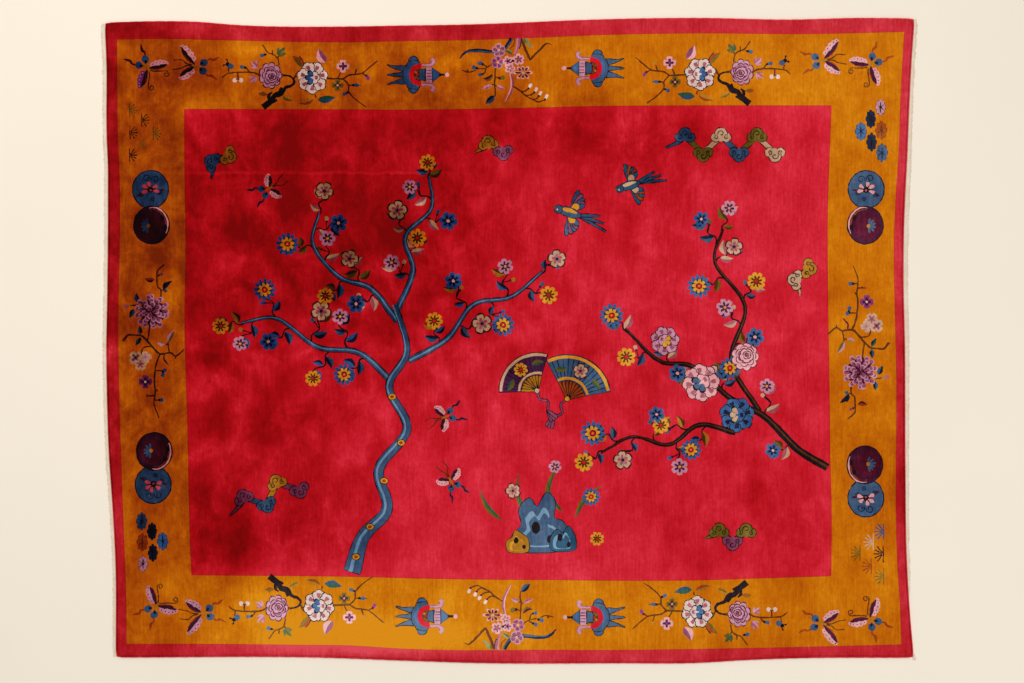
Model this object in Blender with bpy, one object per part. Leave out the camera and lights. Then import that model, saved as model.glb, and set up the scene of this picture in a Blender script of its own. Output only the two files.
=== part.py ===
"""A flat hand-knotted rug of the Chinese art deco kind: one pile body, and a cotton web at each end.

Frame: X runs along the warp, from web to web, Y across it, +Z up. The origin is on the floor, under the
middle of the rug's outline. Metres throughout.
"""

from collections import namedtuple

import bmesh
import bpy
import numpy as np

# Pile body
PILE_THICKNESS = 0.012
PILE_CELLS_X = 56
PILE_CELLS_Y = 44
CORNER_PULL = 0.004

# Cotton webs
WEB_THICKNESS = 0.003
WEB_CELLS_ACROSS = 3
WEB_STATIONS_PER_PILE_CELL = 4
WEB_KNOT_PITCH = 0.031
WEB_KNOT_RISE = 0.0012
WEB_KNOT_REACH = 0.0015
TUFT_LENGTH = 0.015

GAP = 0.0003
SETTLING_STEPS = 6

# A row for each place where the line of an edge changes: how far along it, and how far out from the middle.
Edge = namedtuple("Edge", "along out")
TOP_EDGE = (
    Edge(-1.749, 1.377),
    Edge(-1.525, 1.383),
    Edge(-1.365, 1.381),
    Edge(-1.167, 1.366),
    Edge(-0.687, 1.360),
    Edge(-0.471, 1.364),
    Edge(-0.169, 1.369),
    Edge(0.047, 1.377),
    Edge(0.307, 1.388),
    Edge(0.825, 1.397),
    Edge(1.214, 1.390),
    Edge(1.516, 1.397),
    Edge(1.754, 1.395),
)
BOTTOM_EDGE = (
    Edge(-1.701, 1.370),
    Edge(-0.800, 1.371),
    Edge(-0.471, 1.383),
    Edge(-0.125, 1.394),
    Edge(0.480, 1.395),
    Edge(0.803, 1.394),
    Edge(1.015, 1.382),
    Edge(1.222, 1.374),
    Edge(1.751, 1.371),
)
LEFT_EDGE = (
    Edge(-1.370, 1.701),
    Edge(-0.947, 1.703),
    Edge(-0.753, 1.713),
    Edge(-0.472, 1.732),
    Edge(-0.256, 1.739),
    Edge(-0.018, 1.742),
    Edge(0.200, 1.738),
    Edge(0.608, 1.735),
    Edge(0.781, 1.736),
    Edge(0.867, 1.740),
    Edge(1.213, 1.742),
    Edge(1.377, 1.749),
)
RIGHT_EDGE = (
    Edge(-1.371, 1.751),
    Edge(-1.176, 1.734),
    Edge(-0.960, 1.721),
    Edge(-0.519, 1.714),
    Edge(-0.022, 1.712),
    Edge(0.263, 1.706),
    Edge(0.487, 1.708),
    Edge(0.816, 1.723),
    Edge(1.036, 1.732),
    Edge(1.213, 1.741),
    Edge(1.395, 1.754),
)

# How wide each web is, from the pile to the outside of its knots.
Width = namedtuple("Width", "along wide")
LEFT_WEB_WIDTHS = (
    Width(-1.370, 0.015),
    Width(-0.500, 0.016),
    Width(0.300, 0.018),
    Width(1.000, 0.018),
    Width(1.377, 0.019),
)
RIGHT_WEB_WIDTHS = (
    Width(-1.386, 0.009),
    Width(-1.379, 0.014),
    Width(-1.366, 0.009),
    Width(-1.000, 0.013),
    Width(-0.600, 0.016),
    Width(0.100, 0.020),
    Width(0.600, 0.021),
    Width(1.050, 0.016),
    Width(1.395, 0.015),
)

# Soft swells and one old fold line that the pile lies in: middle, reach to either side, and rise.
Swell = namedtuple("Swell", "x y reach_x reach_y rise")
SWELLS = (
    Swell(-0.95, 0.725, 0.55, 0.060, 0.0011),
    Swell(-1.25, 0.95, 0.35, 0.25, -0.0010),
    Swell(-0.45, 0.25, 0.30, 0.45, 0.0012),
    Swell(-1.30, -0.75, 0.30, 0.40, 0.0009),
    Swell(0.20, -0.55, 0.50, 0.35, -0.0010),
    Swell(0.35, 0.95, 0.45, 0.25, 0.0010),
    Swell(1.15, 0.30, 0.30, 0.50, -0.0011),
    Swell(1.30, -0.90, 0.35, 0.30, 0.0010),
    Swell(-0.15, -1.33, 0.35, 0.080, 0.0014),
)

# The rounded rim, from the top down: how far in from the outermost line, and what share of the pile's height.
Rim = namedtuple("Rim", "inset share")
PILE_TOP_INSET = 0.014
PILE_RIM = (
    Rim(0.005, 0.93),
    Rim(0.001, 0.68),
    Rim(0.000, 0.35),
    Rim(0.001, 0.00),
)

CRIMSON_WOOL = (0.42, 0.012, 0.028)
CREAM_COTTON = (0.78, 0.70, 0.52)


def clear_scene():
    for old in list(bpy.data.objects):
        bpy.data.objects.remove(old, do_unlink=True)


def follow(rows, at):
    """A smooth line through a table's rows: a cubic between neighbours, its slopes from the rows either side."""
    along, value = np.array(rows).T
    slope = np.gradient(value, along)
    cell = np.clip(np.searchsorted(along, at) - 1, 0, len(along) - 2)
    span = along[cell + 1] - along[cell]
    t = np.clip((at - along[cell]) / span, 0.0, 1.0)
    start = (1 + 2 * t) * (1 - t) ** 2 * value[cell] + t * (1 - t) ** 2 * span * slope[cell]
    end = t**2 * (3 - 2 * t) * value[cell + 1] + t**2 * (t - 1) * span * slope[cell + 1]
    return start + end


def pile_plan(u, v, inset):
    """Plan of the pile body: u from left to right and v from near to far, between its four bent edges."""
    x = (2 * u - 1) * LEFT_EDGE[0].out
    y = (2 * v - 1) * TOP_EDGE[0].out
    for _ in range(SETTLING_STEPS):
        left = -follow(LEFT_EDGE, y) + inset
        right = follow(RIGHT_EDGE, y) - inset
        near = -follow(BOTTOM_EDGE, x) + inset
        far = follow(TOP_EDGE, x) - inset
        x = left + (right - left) * u
        y = near + (far - near) * v
    at_corner = (np.abs(2 * u - 1) > 1 - 1e-6) & (np.abs(2 * v - 1) > 1 - 1e-6)
    x = np.where(at_corner, x - np.sign(x) * CORNER_PULL, x)
    y = np.where(at_corner, y - np.sign(y) * CORNER_PULL, y)
    return x, y


def pile_height(x, y):
    """Thickness of the pile, with each swell added as a bell shape."""
    height = np.full_like(x, PILE_THICKNESS)
    for swell in SWELLS:
        away = ((x - swell.x) / swell.reach_x) ** 2 + ((y - swell.y) / swell.reach_y) ** 2
        height = height + swell.rise * np.exp(-away)
    return height


def pile_ring(u, v, ring):
    """Points of the pile's top when ring is 0, and of each step of its rim after that."""
    inset, share = (PILE_TOP_INSET, 1.0) if ring == 0 else PILE_RIM[ring - 1]
    x, y = pile_plan(u, v, inset)
    return np.stack([x, y, share * pile_height(x, y)], axis=1)


def web_ring(side, widths, tail):
    """Points of one web: side is -1 at the left and 1 at the right, and tail is its reach past the near corner."""
    stations = np.linspace(0, 1, PILE_CELLS_Y + 1)
    pile_x, pile_y = pile_plan(np.full_like(stations, (side + 1) / 2), stations, 0.0)
    pile_x[[0, -1]] += side * CORNER_PULL
    pile_y[[0, -1]] += np.array([-CORNER_PULL, CORNER_PULL])

    def ring_points(u, v, ring):
        y = pile_y[0] - tail + (pile_y[-1] - pile_y[0] + tail) * v
        knot = np.abs(np.sin(np.pi * y / WEB_KNOT_PITCH))
        outer = follow(widths, y) - WEB_KNOT_REACH + WEB_KNOT_REACH * knot
        x = np.interp(y, pile_y, pile_x) + side * (GAP + outer * u)
        height = WEB_THICKNESS + WEB_KNOT_RISE * (u > 0.5) * knot
        return np.stack([x, y, height if ring == 0 else np.zeros_like(x)], axis=1)

    return ring_points


def flat_slab(name, cells, rings, ring_points, material, collection):
    """A slab that rests flat: a grid for its top, a rim extruded ring by ring to the floor, and one flat face."""
    bm = bmesh.new()
    across = bm.verts.layers.float.new("across")
    along = bm.verts.layers.float.new("along")
    bmesh.ops.create_grid(bm, x_segments=cells[0], y_segments=cells[1], size=0.5)
    for vert in bm.verts:
        vert[across] = vert.co.x + 0.5
        vert[along] = vert.co.y + 0.5

    def settle(verts, ring):
        u = np.array([vert[across] for vert in verts])
        v = np.array([vert[along] for vert in verts])
        for vert, place in zip(verts, ring_points(u, v, ring)):
            vert.co = place

    settle(list(bm.verts), 0)
    rim = [edge for edge in bm.edges if edge.is_boundary]
    for ring in range(1, rings + 1):
        made = bmesh.ops.extrude_edge_only(bm, edges=rim)["geom"]
        rim = [part for part in made if isinstance(part, bmesh.types.BMEdge) and part.is_boundary]
        settle([part for part in made if isinstance(part, bmesh.types.BMVert)], ring)
    bmesh.ops.contextual_create(bm, geom=rim)
    bmesh.ops.recalc_face_normals(bm, faces=bm.faces)
    mesh = bpy.data.meshes.new(name)
    bm.to_mesh(mesh)
    bm.free()
    mesh.materials.append(material)
    mesh.shade_smooth()
    mesh.set_sharp_from_angle(angle=0.7)
    slab = bpy.data.objects.new(name, mesh)
    collection.objects.link(slab)
    return slab


def cloth_material(name, colour, roughness):
    material = bpy.data.materials.new(name)
    material.use_nodes = True
    shader = material.node_tree.nodes["Principled BSDF"]
    shader.inputs["Base Color"].default_value = (*colour, 1.0)
    shader.inputs["Roughness"].default_value = roughness
    shader.inputs["Metallic"].default_value = 0.0
    return material


def main():
    clear_scene()
    collection = bpy.data.collections.new("art_deco_rug")
    bpy.context.scene.collection.children.link(collection)
    wool = cloth_material("crimson_wool", CRIMSON_WOOL, 0.85)
    cotton = cloth_material("cream_cotton", CREAM_COTTON, 0.9)
    flat_slab("pile_body", (PILE_CELLS_X, PILE_CELLS_Y), len(PILE_RIM), pile_ring, wool, collection)
    web_cells = (WEB_CELLS_ACROSS, PILE_CELLS_Y * WEB_STATIONS_PER_PILE_CELL)
    left_points = web_ring(-1, LEFT_WEB_WIDTHS, 0.0)
    right_points = web_ring(1, RIGHT_WEB_WIDTHS, TUFT_LENGTH)
    flat_slab("end_web_left", web_cells, 1, left_points, cotton, collection)
    flat_slab("end_web_right", web_cells, 1, right_points, cotton, collection)


main()
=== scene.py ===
"""The looks of a hand-knotted art deco rug: patterned wool pile, and a cotton web at each end.

The pattern is charted in knots, 70 to the foot, from the middle of the rug: x to the right and y up. Its
outlines are all laid into one mesh, the top of the pile, and every face takes the colour of the last yarn
laid over it.
"""

import logging
from dataclasses import dataclass, field, replace
from enum import Enum
from typing import Callable, NamedTuple, Sequence, Union

import bpy
import numpy as np
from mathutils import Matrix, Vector
from mathutils.geometry import delaunay_2d_cdt

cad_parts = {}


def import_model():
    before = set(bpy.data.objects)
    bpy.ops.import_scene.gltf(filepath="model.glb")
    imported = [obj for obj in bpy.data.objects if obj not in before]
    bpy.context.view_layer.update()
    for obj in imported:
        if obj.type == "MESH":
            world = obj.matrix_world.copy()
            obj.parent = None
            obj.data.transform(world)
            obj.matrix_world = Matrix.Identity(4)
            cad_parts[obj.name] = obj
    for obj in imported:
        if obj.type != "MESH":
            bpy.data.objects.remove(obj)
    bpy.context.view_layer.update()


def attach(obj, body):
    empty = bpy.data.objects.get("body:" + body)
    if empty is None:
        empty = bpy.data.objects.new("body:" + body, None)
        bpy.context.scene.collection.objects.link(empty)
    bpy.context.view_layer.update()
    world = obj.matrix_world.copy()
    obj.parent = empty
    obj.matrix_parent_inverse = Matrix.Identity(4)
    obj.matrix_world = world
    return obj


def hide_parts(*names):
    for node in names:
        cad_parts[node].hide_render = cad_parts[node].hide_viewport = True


Points = Union[np.ndarray, Sequence[tuple[float, float]]]

KNOT = 0.00432
MEETING = 1e-4
FIRST_ROW_INSIDE = 1

log = logging.getLogger("rug")


def linear(red: int, green: int, blue: int) -> tuple[float, float, float]:
    """A display colour of 0 to 255 as the light that it stands for."""
    shown = np.array([red, green, blue]) / 255
    light = np.where(shown <= 0.04045, shown / 12.92, ((shown + 0.055) / 1.055) ** 2.4)
    return tuple(float(part) for part in light)


class Yarn(Enum):
    """Every dye lot in the rug, as it looks in even light, and two colours of painted shade."""

    CRIMSON = linear(208, 35, 53)
    CRIMSON_EDGE = linear(200, 44, 56)
    # Painted shade: the darker crimson laid where the rim dips below its top.
    CRIMSON_VALLEY_SHADE = linear(140, 12, 30)
    # Painted shade: the fine dark line round each wide band.
    CLARET_EDGE_SHADE = linear(158, 30, 20)
    GOLD = linear(200, 112, 5)
    GOLD_PALE = linear(214, 150, 44)
    NAVY = linear(28, 36, 60)
    INK = linear(32, 24, 28)
    BLUE = linear(62, 98, 146)
    STEEL = linear(68, 92, 122)
    DUSKY_BLUE = linear(50, 64, 92)
    TEAL = linear(46, 84, 110)
    SKY = linear(120, 150, 176)
    PLUM = linear(84, 34, 72)
    MAUVE = linear(142, 76, 106)
    LILAC = linear(194, 138, 158)
    ROSE = linear(222, 160, 164)
    PINK = linear(200, 96, 112)
    IVORY = linear(220, 192, 182)
    FAWN = linear(196, 158, 128)
    MAROON = linear(84, 20, 42)
    AUBERGINE = linear(72, 26, 52)
    ORCHID = linear(138, 62, 118)
    DUSK = linear(168, 92, 106)
    RED = linear(206, 24, 40)
    RUST = linear(158, 70, 24)
    BROWN = linear(92, 50, 22)
    OCHRE = linear(176, 120, 36)
    OLIVE = linear(114, 96, 32)
    GREEN = linear(54, 90, 64)
    SAGE = linear(134, 142, 98)


class Row(NamedTuple):
    """A place along an edge, and how far the edge lies out from the middle there."""

    along: float
    out: float


Edge = tuple[Row, ...]


class Place(NamedTuple):
    """Where a motif stands, its turn in degrees, and whether it is mirrored."""

    x: float
    y: float
    turn: float
    flip: bool = False


def table(kind: Callable, *rows: tuple) -> tuple:
    """A table whose rows are all made into one kind of record."""
    return tuple(kind(*row) for row in rows)


def follow(rows: Sequence[Row], at: np.ndarray) -> np.ndarray:
    """A smooth line through a table's rows: a cubic between neighbours, its slopes from the rows either side.

    Args:
        rows: the table, in rising order.
        at: where the line is wanted.

    Returns:
        The line's value at each place, level past the ends.
    """
    along, value = np.array(rows).T
    slope = np.gradient(value, along)
    cell = np.clip(np.searchsorted(along, at) - 1, 0, len(along) - 2)
    span = along[cell + 1] - along[cell]
    t = np.clip((at - along[cell]) / span, 0.0, 1.0)
    start = (1 + 2 * t) * (1 - t) ** 2 * value[cell] + t * (1 - t) ** 2 * span * slope[cell]
    end = t**2 * (3 - 2 * t) * value[cell + 1] + t**2 * (t - 1) * span * slope[cell + 1]
    return start + end


def smooth_line(points: Points, steps: int = 5, closed: bool = False) -> np.ndarray:
    """A Catmull-Rom line: between two points it leaves along half the step from the point before to the point
    after, and arrives the same way, so it passes through every point without a corner.

    Args:
        points: the points to pass through.
        steps: places worked out on each span.
        closed: whether the last point joins the first.

    Returns:
        The line's places, one row each.
    """
    given = np.asarray(points, float)
    if closed:
        before, start, end, after = (np.roll(given, shift, axis=0) for shift in (1, 0, -1, -2))
    else:
        longer = np.vstack([2 * given[0] - given[1], given, 2 * given[-1] - given[-2]])
        before, start, end, after = longer[:-3], longer[1:-2], longer[2:-1], longer[3:]
    t = (np.arange(steps) / steps)[:, None, None]
    bend = 2 * before - 5 * start + 4 * end - after
    line = start + 0.5 * t * ((end - before) + t * (bend + t * (3 * (start - end) + after - before)))
    line = line.transpose(1, 0, 2).reshape(-1, 2)
    return line if closed else np.vstack([line, given[-1]])


def ribbon_outline(path: np.ndarray, widths: Sequence[float]) -> np.ndarray:
    """The outline of a ribbon: half its width to the left of the path all along, and back along the right.

    Args:
        path: the middle of the ribbon.
        widths: its width at even steps from start to end.

    Returns:
        The closed outline.
    """
    step = np.linalg.norm(np.diff(path, axis=0), axis=1)
    along = np.concatenate([[0.0], np.cumsum(step)])
    wide = np.interp(along, np.linspace(0, along[-1], len(widths)), widths)
    heading = np.gradient(path, axis=0)
    heading /= np.maximum(np.linalg.norm(heading, axis=1), 1e-9)[:, None]
    aside = np.stack([-heading[:, 1], heading[:, 0]], axis=1) * wide[:, None] / 2
    return np.vstack([path + aside, (path - aside)[::-1]])


def signed_area(outline: np.ndarray) -> float:
    """Area inside an outline, above zero when it runs anticlockwise."""
    x, y = outline.T
    return float(0.5 * np.sum(x * np.roll(y, -1) - np.roll(x, -1) * y))


def grown(outline: np.ndarray, by: float) -> np.ndarray:
    """An outline moved out all round, each place along the line square to its neighbours' chord."""
    chord = np.roll(outline, -1, axis=0) - np.roll(outline, 1, axis=0)
    chord /= np.maximum(np.linalg.norm(chord, axis=1), 1e-9)[:, None]
    outward = np.stack([chord[:, 1], -chord[:, 0]], axis=1) * np.sign(signed_area(outline))
    return outline + by * outward


def thinned(outline: np.ndarray, apart: float, fewest: int = 8) -> np.ndarray:
    """An outline with one place kept in each stretch of its length, so that places don't crowd.

    Args:
        outline: its places.
        apart: how long a stretch is, shortened where the outline is small.
        fewest: outlines with no more places than this are kept as they are.

    Returns:
        The places kept.
    """
    if len(outline) <= fewest:
        return outline
    step = np.linalg.norm(np.roll(outline, -1, axis=0) - outline, axis=1)
    along = np.cumsum(step) - step
    stretch = min(apart, step.sum() / fewest)
    return outline[np.unique(np.floor(along / stretch), return_index=True)[1]]


@dataclass
class Chart:
    """The knotter's chart: filled outlines in knots, each laid over those before it.

    Attributes:
        hand: how uneven hand knotting leaves an outline, in knots.
        shade: how much lighter or darker a patch may turn out.
        seed: of both.
        smallest: the least area that is knotted at all.
        apart: how far apart an outline's places are kept.
        outlines, colours: what is laid so far.
    """

    hand: float = 0.16
    shade: float = 0.09
    seed: int = 11
    smallest: float = 0.2
    apart: float = 0.9
    outlines: list[np.ndarray] = field(default_factory=list)
    colours: list[tuple[float, float, float]] = field(default_factory=list)

    def __post_init__(self) -> None:
        """Start the seeded source of unevenness."""
        self.chance = np.random.default_rng(self.seed)

    def lay(self, outline: np.ndarray, yarn: Yarn, even: bool = False) -> None:
        """Fill an outline with a yarn.

        Args:
            outline: its places in knots.
            yarn: the yarn it is knotted in.
            even: whether it is kept exactly as drawn, as the wide bands are.
        """
        area = signed_area(outline)
        if abs(area) < self.smallest:
            return
        colour = np.array(yarn.value)
        if not even:
            outline = thinned(outline, self.apart)
            outline = outline + self.chance.normal(0, self.hand, outline.shape)
            colour = colour * (1 + self.chance.uniform(-self.shade, self.shade))
        self.outlines.append(outline if area > 0 else outline[::-1])
        self.colours.append(tuple(colour))


@dataclass(frozen=True)
class Pen:
    """Draws on the chart in a motif's own frame, in knots from the motif's middle.

    Attributes:
        chart: what is drawn on.
        origin: where the frame's middle is on the chart.
        axes: the frame's x and y as columns, with its size, turn and mirroring.
        rim: a yarn that edges everything it draws, if any.
        edge: how wide that edge is.
    """

    chart: Chart
    origin: np.ndarray = field(default_factory=lambda: np.zeros(2))
    axes: np.ndarray = field(default_factory=lambda: np.eye(2))
    rim: Union[Yarn, None] = None
    edge: float = 0.75

    def at(self, x: float, y: float, turn: float = 0.0, size: float = 1.0, flip: bool = False) -> "Pen":
        """A pen for a frame inside this one.

        Args:
            x, y: the new middle.
            turn: its turn anticlockwise, in degrees.
            size: its size against this frame's.
            flip: whether it is first mirrored left to right.

        Returns:
            The new pen.
        """
        angle = np.radians(turn)
        turned = np.array([[np.cos(angle), -np.sin(angle)], [np.sin(angle), np.cos(angle)]])
        mirrored = np.diag([-1.0 if flip else 1.0, 1.0])
        return replace(self, origin=self.origin + self.axes @ (x, y),
            axes=self.axes @ turned @ mirrored * size)

    def fill(self, outline: np.ndarray, yarn: Yarn, even: bool = False) -> None:
        """Lay an outline of this frame on the chart."""
        placed = outline @ self.axes.T + self.origin
        if self.rim is not None:
            self.chart.lay(grown(placed, self.edge), self.rim)
        self.chart.lay(placed, yarn, even)

    def patch(self, points: Points, yarn: Yarn, steps: int = 4) -> None:
        """Fill the smooth closed line through the points."""
        self.fill(smooth_line(points, steps, closed=True), yarn)

    def facet(self, points: Points, yarn: Yarn) -> None:
        """Fill the straight-sided outline through the points."""
        self.fill(np.asarray(points, float), yarn)

    def ribbon(self, points: Points, widths: Sequence[float], yarn: Yarn, steps: int = 4) -> None:
        """Fill a ribbon along the smooth line through the points."""
        self.fill(ribbon_outline(smooth_line(points, steps), widths), yarn)

    def at_place(self, place: Place) -> "Pen":
        """A pen for a motif in its place."""
        return self.at(place.x, place.y, place.turn, flip=place.flip)

    def disc(self, x: float, y: float, radius: float, yarn: Yarn, tall: float = 1.0) -> None:
        """Fill a disc or, where tall is not 1, an oval that many times as tall as wide."""
        self.lobed(x, y, radius, yarn, tall)

    def lobed(
        self,
        x: float,
        y: float,
        radius: float,
        yarn: Yarn,
        tall: float = 1.0,
        lobes: int = 0,
        depth: float = 0.0,
    ) -> None:
        """Fill a round shape whose radius dips between its lobes: 1 - depth * (1 - |cos(lobes * a / 2)|^0.5).

        Args:
            x, y: its middle.
            radius: half its width.
            yarn: its yarn.
            tall: height over width.
            lobes: how many lobes, or none for a plain disc.
            depth: how deep the dips are, as a share of the radius.
        """
        places = max(int(6 + 2.2 * radius), 6 * lobes, 9)
        angle = np.linspace(0, 2 * np.pi, places, endpoint=False)
        reach = radius * (1 - depth * (1 - np.abs(np.cos(lobes * angle / 2)) ** 0.5))
        oval = np.stack([reach * np.cos(angle), tall * reach * np.sin(angle)], axis=1)
        self.at(x, y).fill(oval, yarn)

    def petal(
        self, x: float, y: float, turn: float, long: float, wide: float, yarn: Yarn, notch: float = 0.0
    ) -> None:
        """Fill a petal that grows from a point, whose tip may dip in the middle.

        At the share t = (1 - cos a) / 2 of its length, half its width is wide / 2 * sin a * (0.45 + 0.75 t).

        Args:
            x, y: where it grows from.
            turn: the way it points, in degrees.
            long, wide: its length and width.
            yarn: its yarn.
            notch: how deep its tip dips, as a share of its length.
        """
        angle = np.linspace(0, 2 * np.pi, max(int(8 + 1.6 * long), 10), endpoint=False)
        along = (1 - np.cos(angle)) / 2
        reach = long * (along - notch * np.exp(-((np.sin(angle) / 0.5) ** 2)) * (along > 0.5))
        aside = wide / 2 * np.sin(angle) * (0.45 + 0.75 * along)
        self.at(x, y, turn).fill(np.stack([reach, aside], axis=1), yarn)

    def leaf(
        self,
        start: tuple[float, float],
        tip: tuple[float, float],
        wide: float,
        yarn: Yarn,
        under: Yarn,
        bend: float = 0.0,
    ) -> None:
        """Fill a pointed leaf in two halves, each sin(pi * t ** 0.8) wide, about a bent middle.

        Args:
            start: where the leaf begins.
            tip: where it ends.
            wide: its width.
            yarn: the yarn of its left half.
            under: the yarn of its right half.
            bend: how far its middle lies off the straight line, as a share of its length.
        """
        t = np.linspace(0, 1, 7)
        run = np.array(tip, float) - np.array(start, float)
        aside = np.array([-run[1], run[0]])
        middle = np.array(start) + t[:, None] * run + (bend * np.sin(np.pi * t))[:, None] * aside
        half = (wide / 2 * np.sin(np.pi * t**0.8))[:, None] * aside / max(np.linalg.norm(run), 1e-6)
        self.fill(np.vstack([middle + half, (middle - half)[-2:0:-1]]), under)
        self.fill(np.vstack([middle + half, middle[-2:0:-1]]), yarn)

    def sector(self, near: float, far: float, start: float, end: float, yarn: Yarn) -> None:
        """Fill the part of a ring about the frame's middle between two radii and two angles in degrees."""
        angle = np.radians(np.linspace(start, end, 15))
        arc = np.stack([np.cos(angle), np.sin(angle)], axis=1)
        self.fill(np.vstack([far * arc, near * arc[::-1]]), yarn)

    def curl(self, x: float, y: float, wide: float, start: float, sweep: float, thick: float,
        yarn: Yarn) -> None:
        """Fill a spiral that winds in to a third of its radius.

        Args:
            x, y: its middle.
            wide: its radius where it starts.
            start: the angle it starts at, in degrees.
            sweep: how far it turns, in degrees, clockwise when below zero.
            thick: the ribbon's width.
            yarn: its yarn.
        """
        t = np.linspace(0, 1, 12)
        angle = np.radians(start + sweep * t)
        reach = wide * (1 - 0.65 * t)
        path = np.stack([x + reach * np.cos(angle), y + reach * np.sin(angle)], axis=1)
        self.fill(ribbon_outline(path, (thick, thick)), yarn)


@dataclass(frozen=True)
class Butterfly:
    """A butterfly that heads along its frame's x, wings swept to both sides.

    Attributes:
        wings: length of its left and right wing.
        spread: how far each wing stands off its heading, in degrees.
        pale: yarns of the left and the right wing's scalloped edge.
        curled: whether its feelers end in spirals, instead of running long and forked.
        trail: yarn of the streamers from its hind wings.
    """

    wings: tuple[float, float] = (21.0, 21.0)
    spread: tuple[float, float] = (58.0, 60.0)
    pale: tuple[Yarn, Yarn] = (Yarn.ROSE, Yarn.ROSE)
    curled: bool = True
    trail: Yarn = Yarn.MAROON

    def wing(self, pen: Pen, long: float, pale: Yarn) -> None:
        """A wing along x: a dark leaf in front, a row of scallops with dots behind it at y above zero."""
        pen.facet([(1, 0), (0.2 * long, 2.6), (0.62 * long, 3.2), (0.94 * long, 1.8), (long, 0.2),
            (0.5 * long, 0)], pale)
        for share, aside, radius in ((0.24, 2.8, 2.5), (0.42, 3.7, 2.7), (0.6, 3.8, 2.7),
                (0.77, 3.0, 2.4), (0.9, 1.8, 1.9)):
            pen.disc(share * long, aside, radius, pale)
            pen.disc(share * long, aside + 0.3, 0.62,
                Yarn.AUBERGINE if pale is not Yarn.ORCHID else Yarn.LILAC)
        pen.patch([(0, 0), (0.3 * long, -2.9), (0.62 * long, -3.0), (0.93 * long, 0.2), (0.66 * long, 1.4),
                   (0.5 * long, 0.9), (0.3 * long, 1.5)], Yarn.AUBERGINE)
        pen.ribbon([(0.12 * long, -1.4), (0.34 * long, -2.9), (0.62 * long, -2.7)], (0.3, 1.3, 0.3),
            Yarn.RUST)

    def draw(self, pen: Pen) -> None:
        """Draw it: streamers, hind wings, fore wings, body, feelers."""
        for side, long, angle, pale in zip((1, -1), self.wings, self.spread, self.pale):
            half = pen.at(0, 0, 0 if side > 0 else 180, flip=side < 0)
            half.ribbon([(-9, 5.5), (-13, 8.5), (-16.5, 8), (-22, 11.5)], (1.2, 2.0, 2.8, 0.9), self.trail)
            half.disc(-7.4, 4.3, 4.1, Yarn.STEEL, tall=0.9)
            half.patch([(-3.5, 1.4), (-6.2, 1.9), (-7.2, 4.2), (-4.8, 4.6)], Yarn.NAVY)
            self.wing(half.at(1.0, 0.8, angle), long, pale)
            if self.curled:
                half.ribbon([(4, 0.8), (7.5, 3.4), (11.5, 8), (15.2, 12.2), (17.6, 12.8)],
                    (1.3, 1.2, 1.1), Yarn.BROWN)
                half.curl(17.6, 10.0, 2.9, 95, -400, 1.05, Yarn.BROWN)
            else:
                half.ribbon([(4, 0.5), (10, 1.2), (15, 4.2), (23, 4.8 + 2 * side)], (1.4, 1.3, 1.1, 1.0),
                    Yarn.BROWN)
        pen.ribbon([(-4.5, 0), (0, 0.3), (4.5, 0)], (1.2, 2.9, 1.0), Yarn.OCHRE)


@dataclass(frozen=True)
class Bud:
    """A bud on a short stalk along its frame's x."""

    long: float = 6.0
    wide: float = 4.4
    yarn: Yarn = Yarn.STEEL
    cap: Yarn = Yarn.INK

    def draw(self, pen: Pen) -> None:
        """Draw the bud and the dark cap that holds it."""
        pen.petal(-0.4, 0, 0, self.long, self.wide, self.yarn)
        pen.petal(-1.2, 0, 0, 0.45 * self.long, 0.75 * self.wide, self.cap)


@dataclass(frozen=True)
class SmallFlower:
    """A flat flower with a few round petals about a dark heart.

    Attributes:
        petals: how many.
        radius: from the middle to a petal's tip.
        yarn, heart, eye: yarns of the petals, of the heart, and of the dot in it.
        rim: yarn that edges the petals, if any.
    """

    petals: int = 5
    radius: float = 8.0
    yarn: Yarn = Yarn.BLUE
    heart: Yarn = Yarn.MAROON
    eye: Yarn = Yarn.GOLD
    rim: Union[Yarn, None] = None

    def draw(self, pen: Pen) -> None:
        """Draw the petals round, then the heart and its eye."""
        step = 360 / self.petals
        wide = 1.12 * self.radius * np.sin(np.pi / self.petals) * 1.25
        for turn in np.arange(self.petals) * step + 90:
            if self.rim is not None:
                pen.petal(0, 0, turn, self.radius + 0.9, wide + 1.4, self.rim)
            pen.petal(0, 0, turn, self.radius, wide, self.yarn, notch=0.08)
            pen.petal(0, 0, turn, 0.62 * self.radius, 0.42 * wide, self.heart)
        pen.disc(0, 0, 0.3 * self.radius, self.heart)
        pen.disc(0, 0, 0.17 * self.radius, self.eye)


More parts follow.
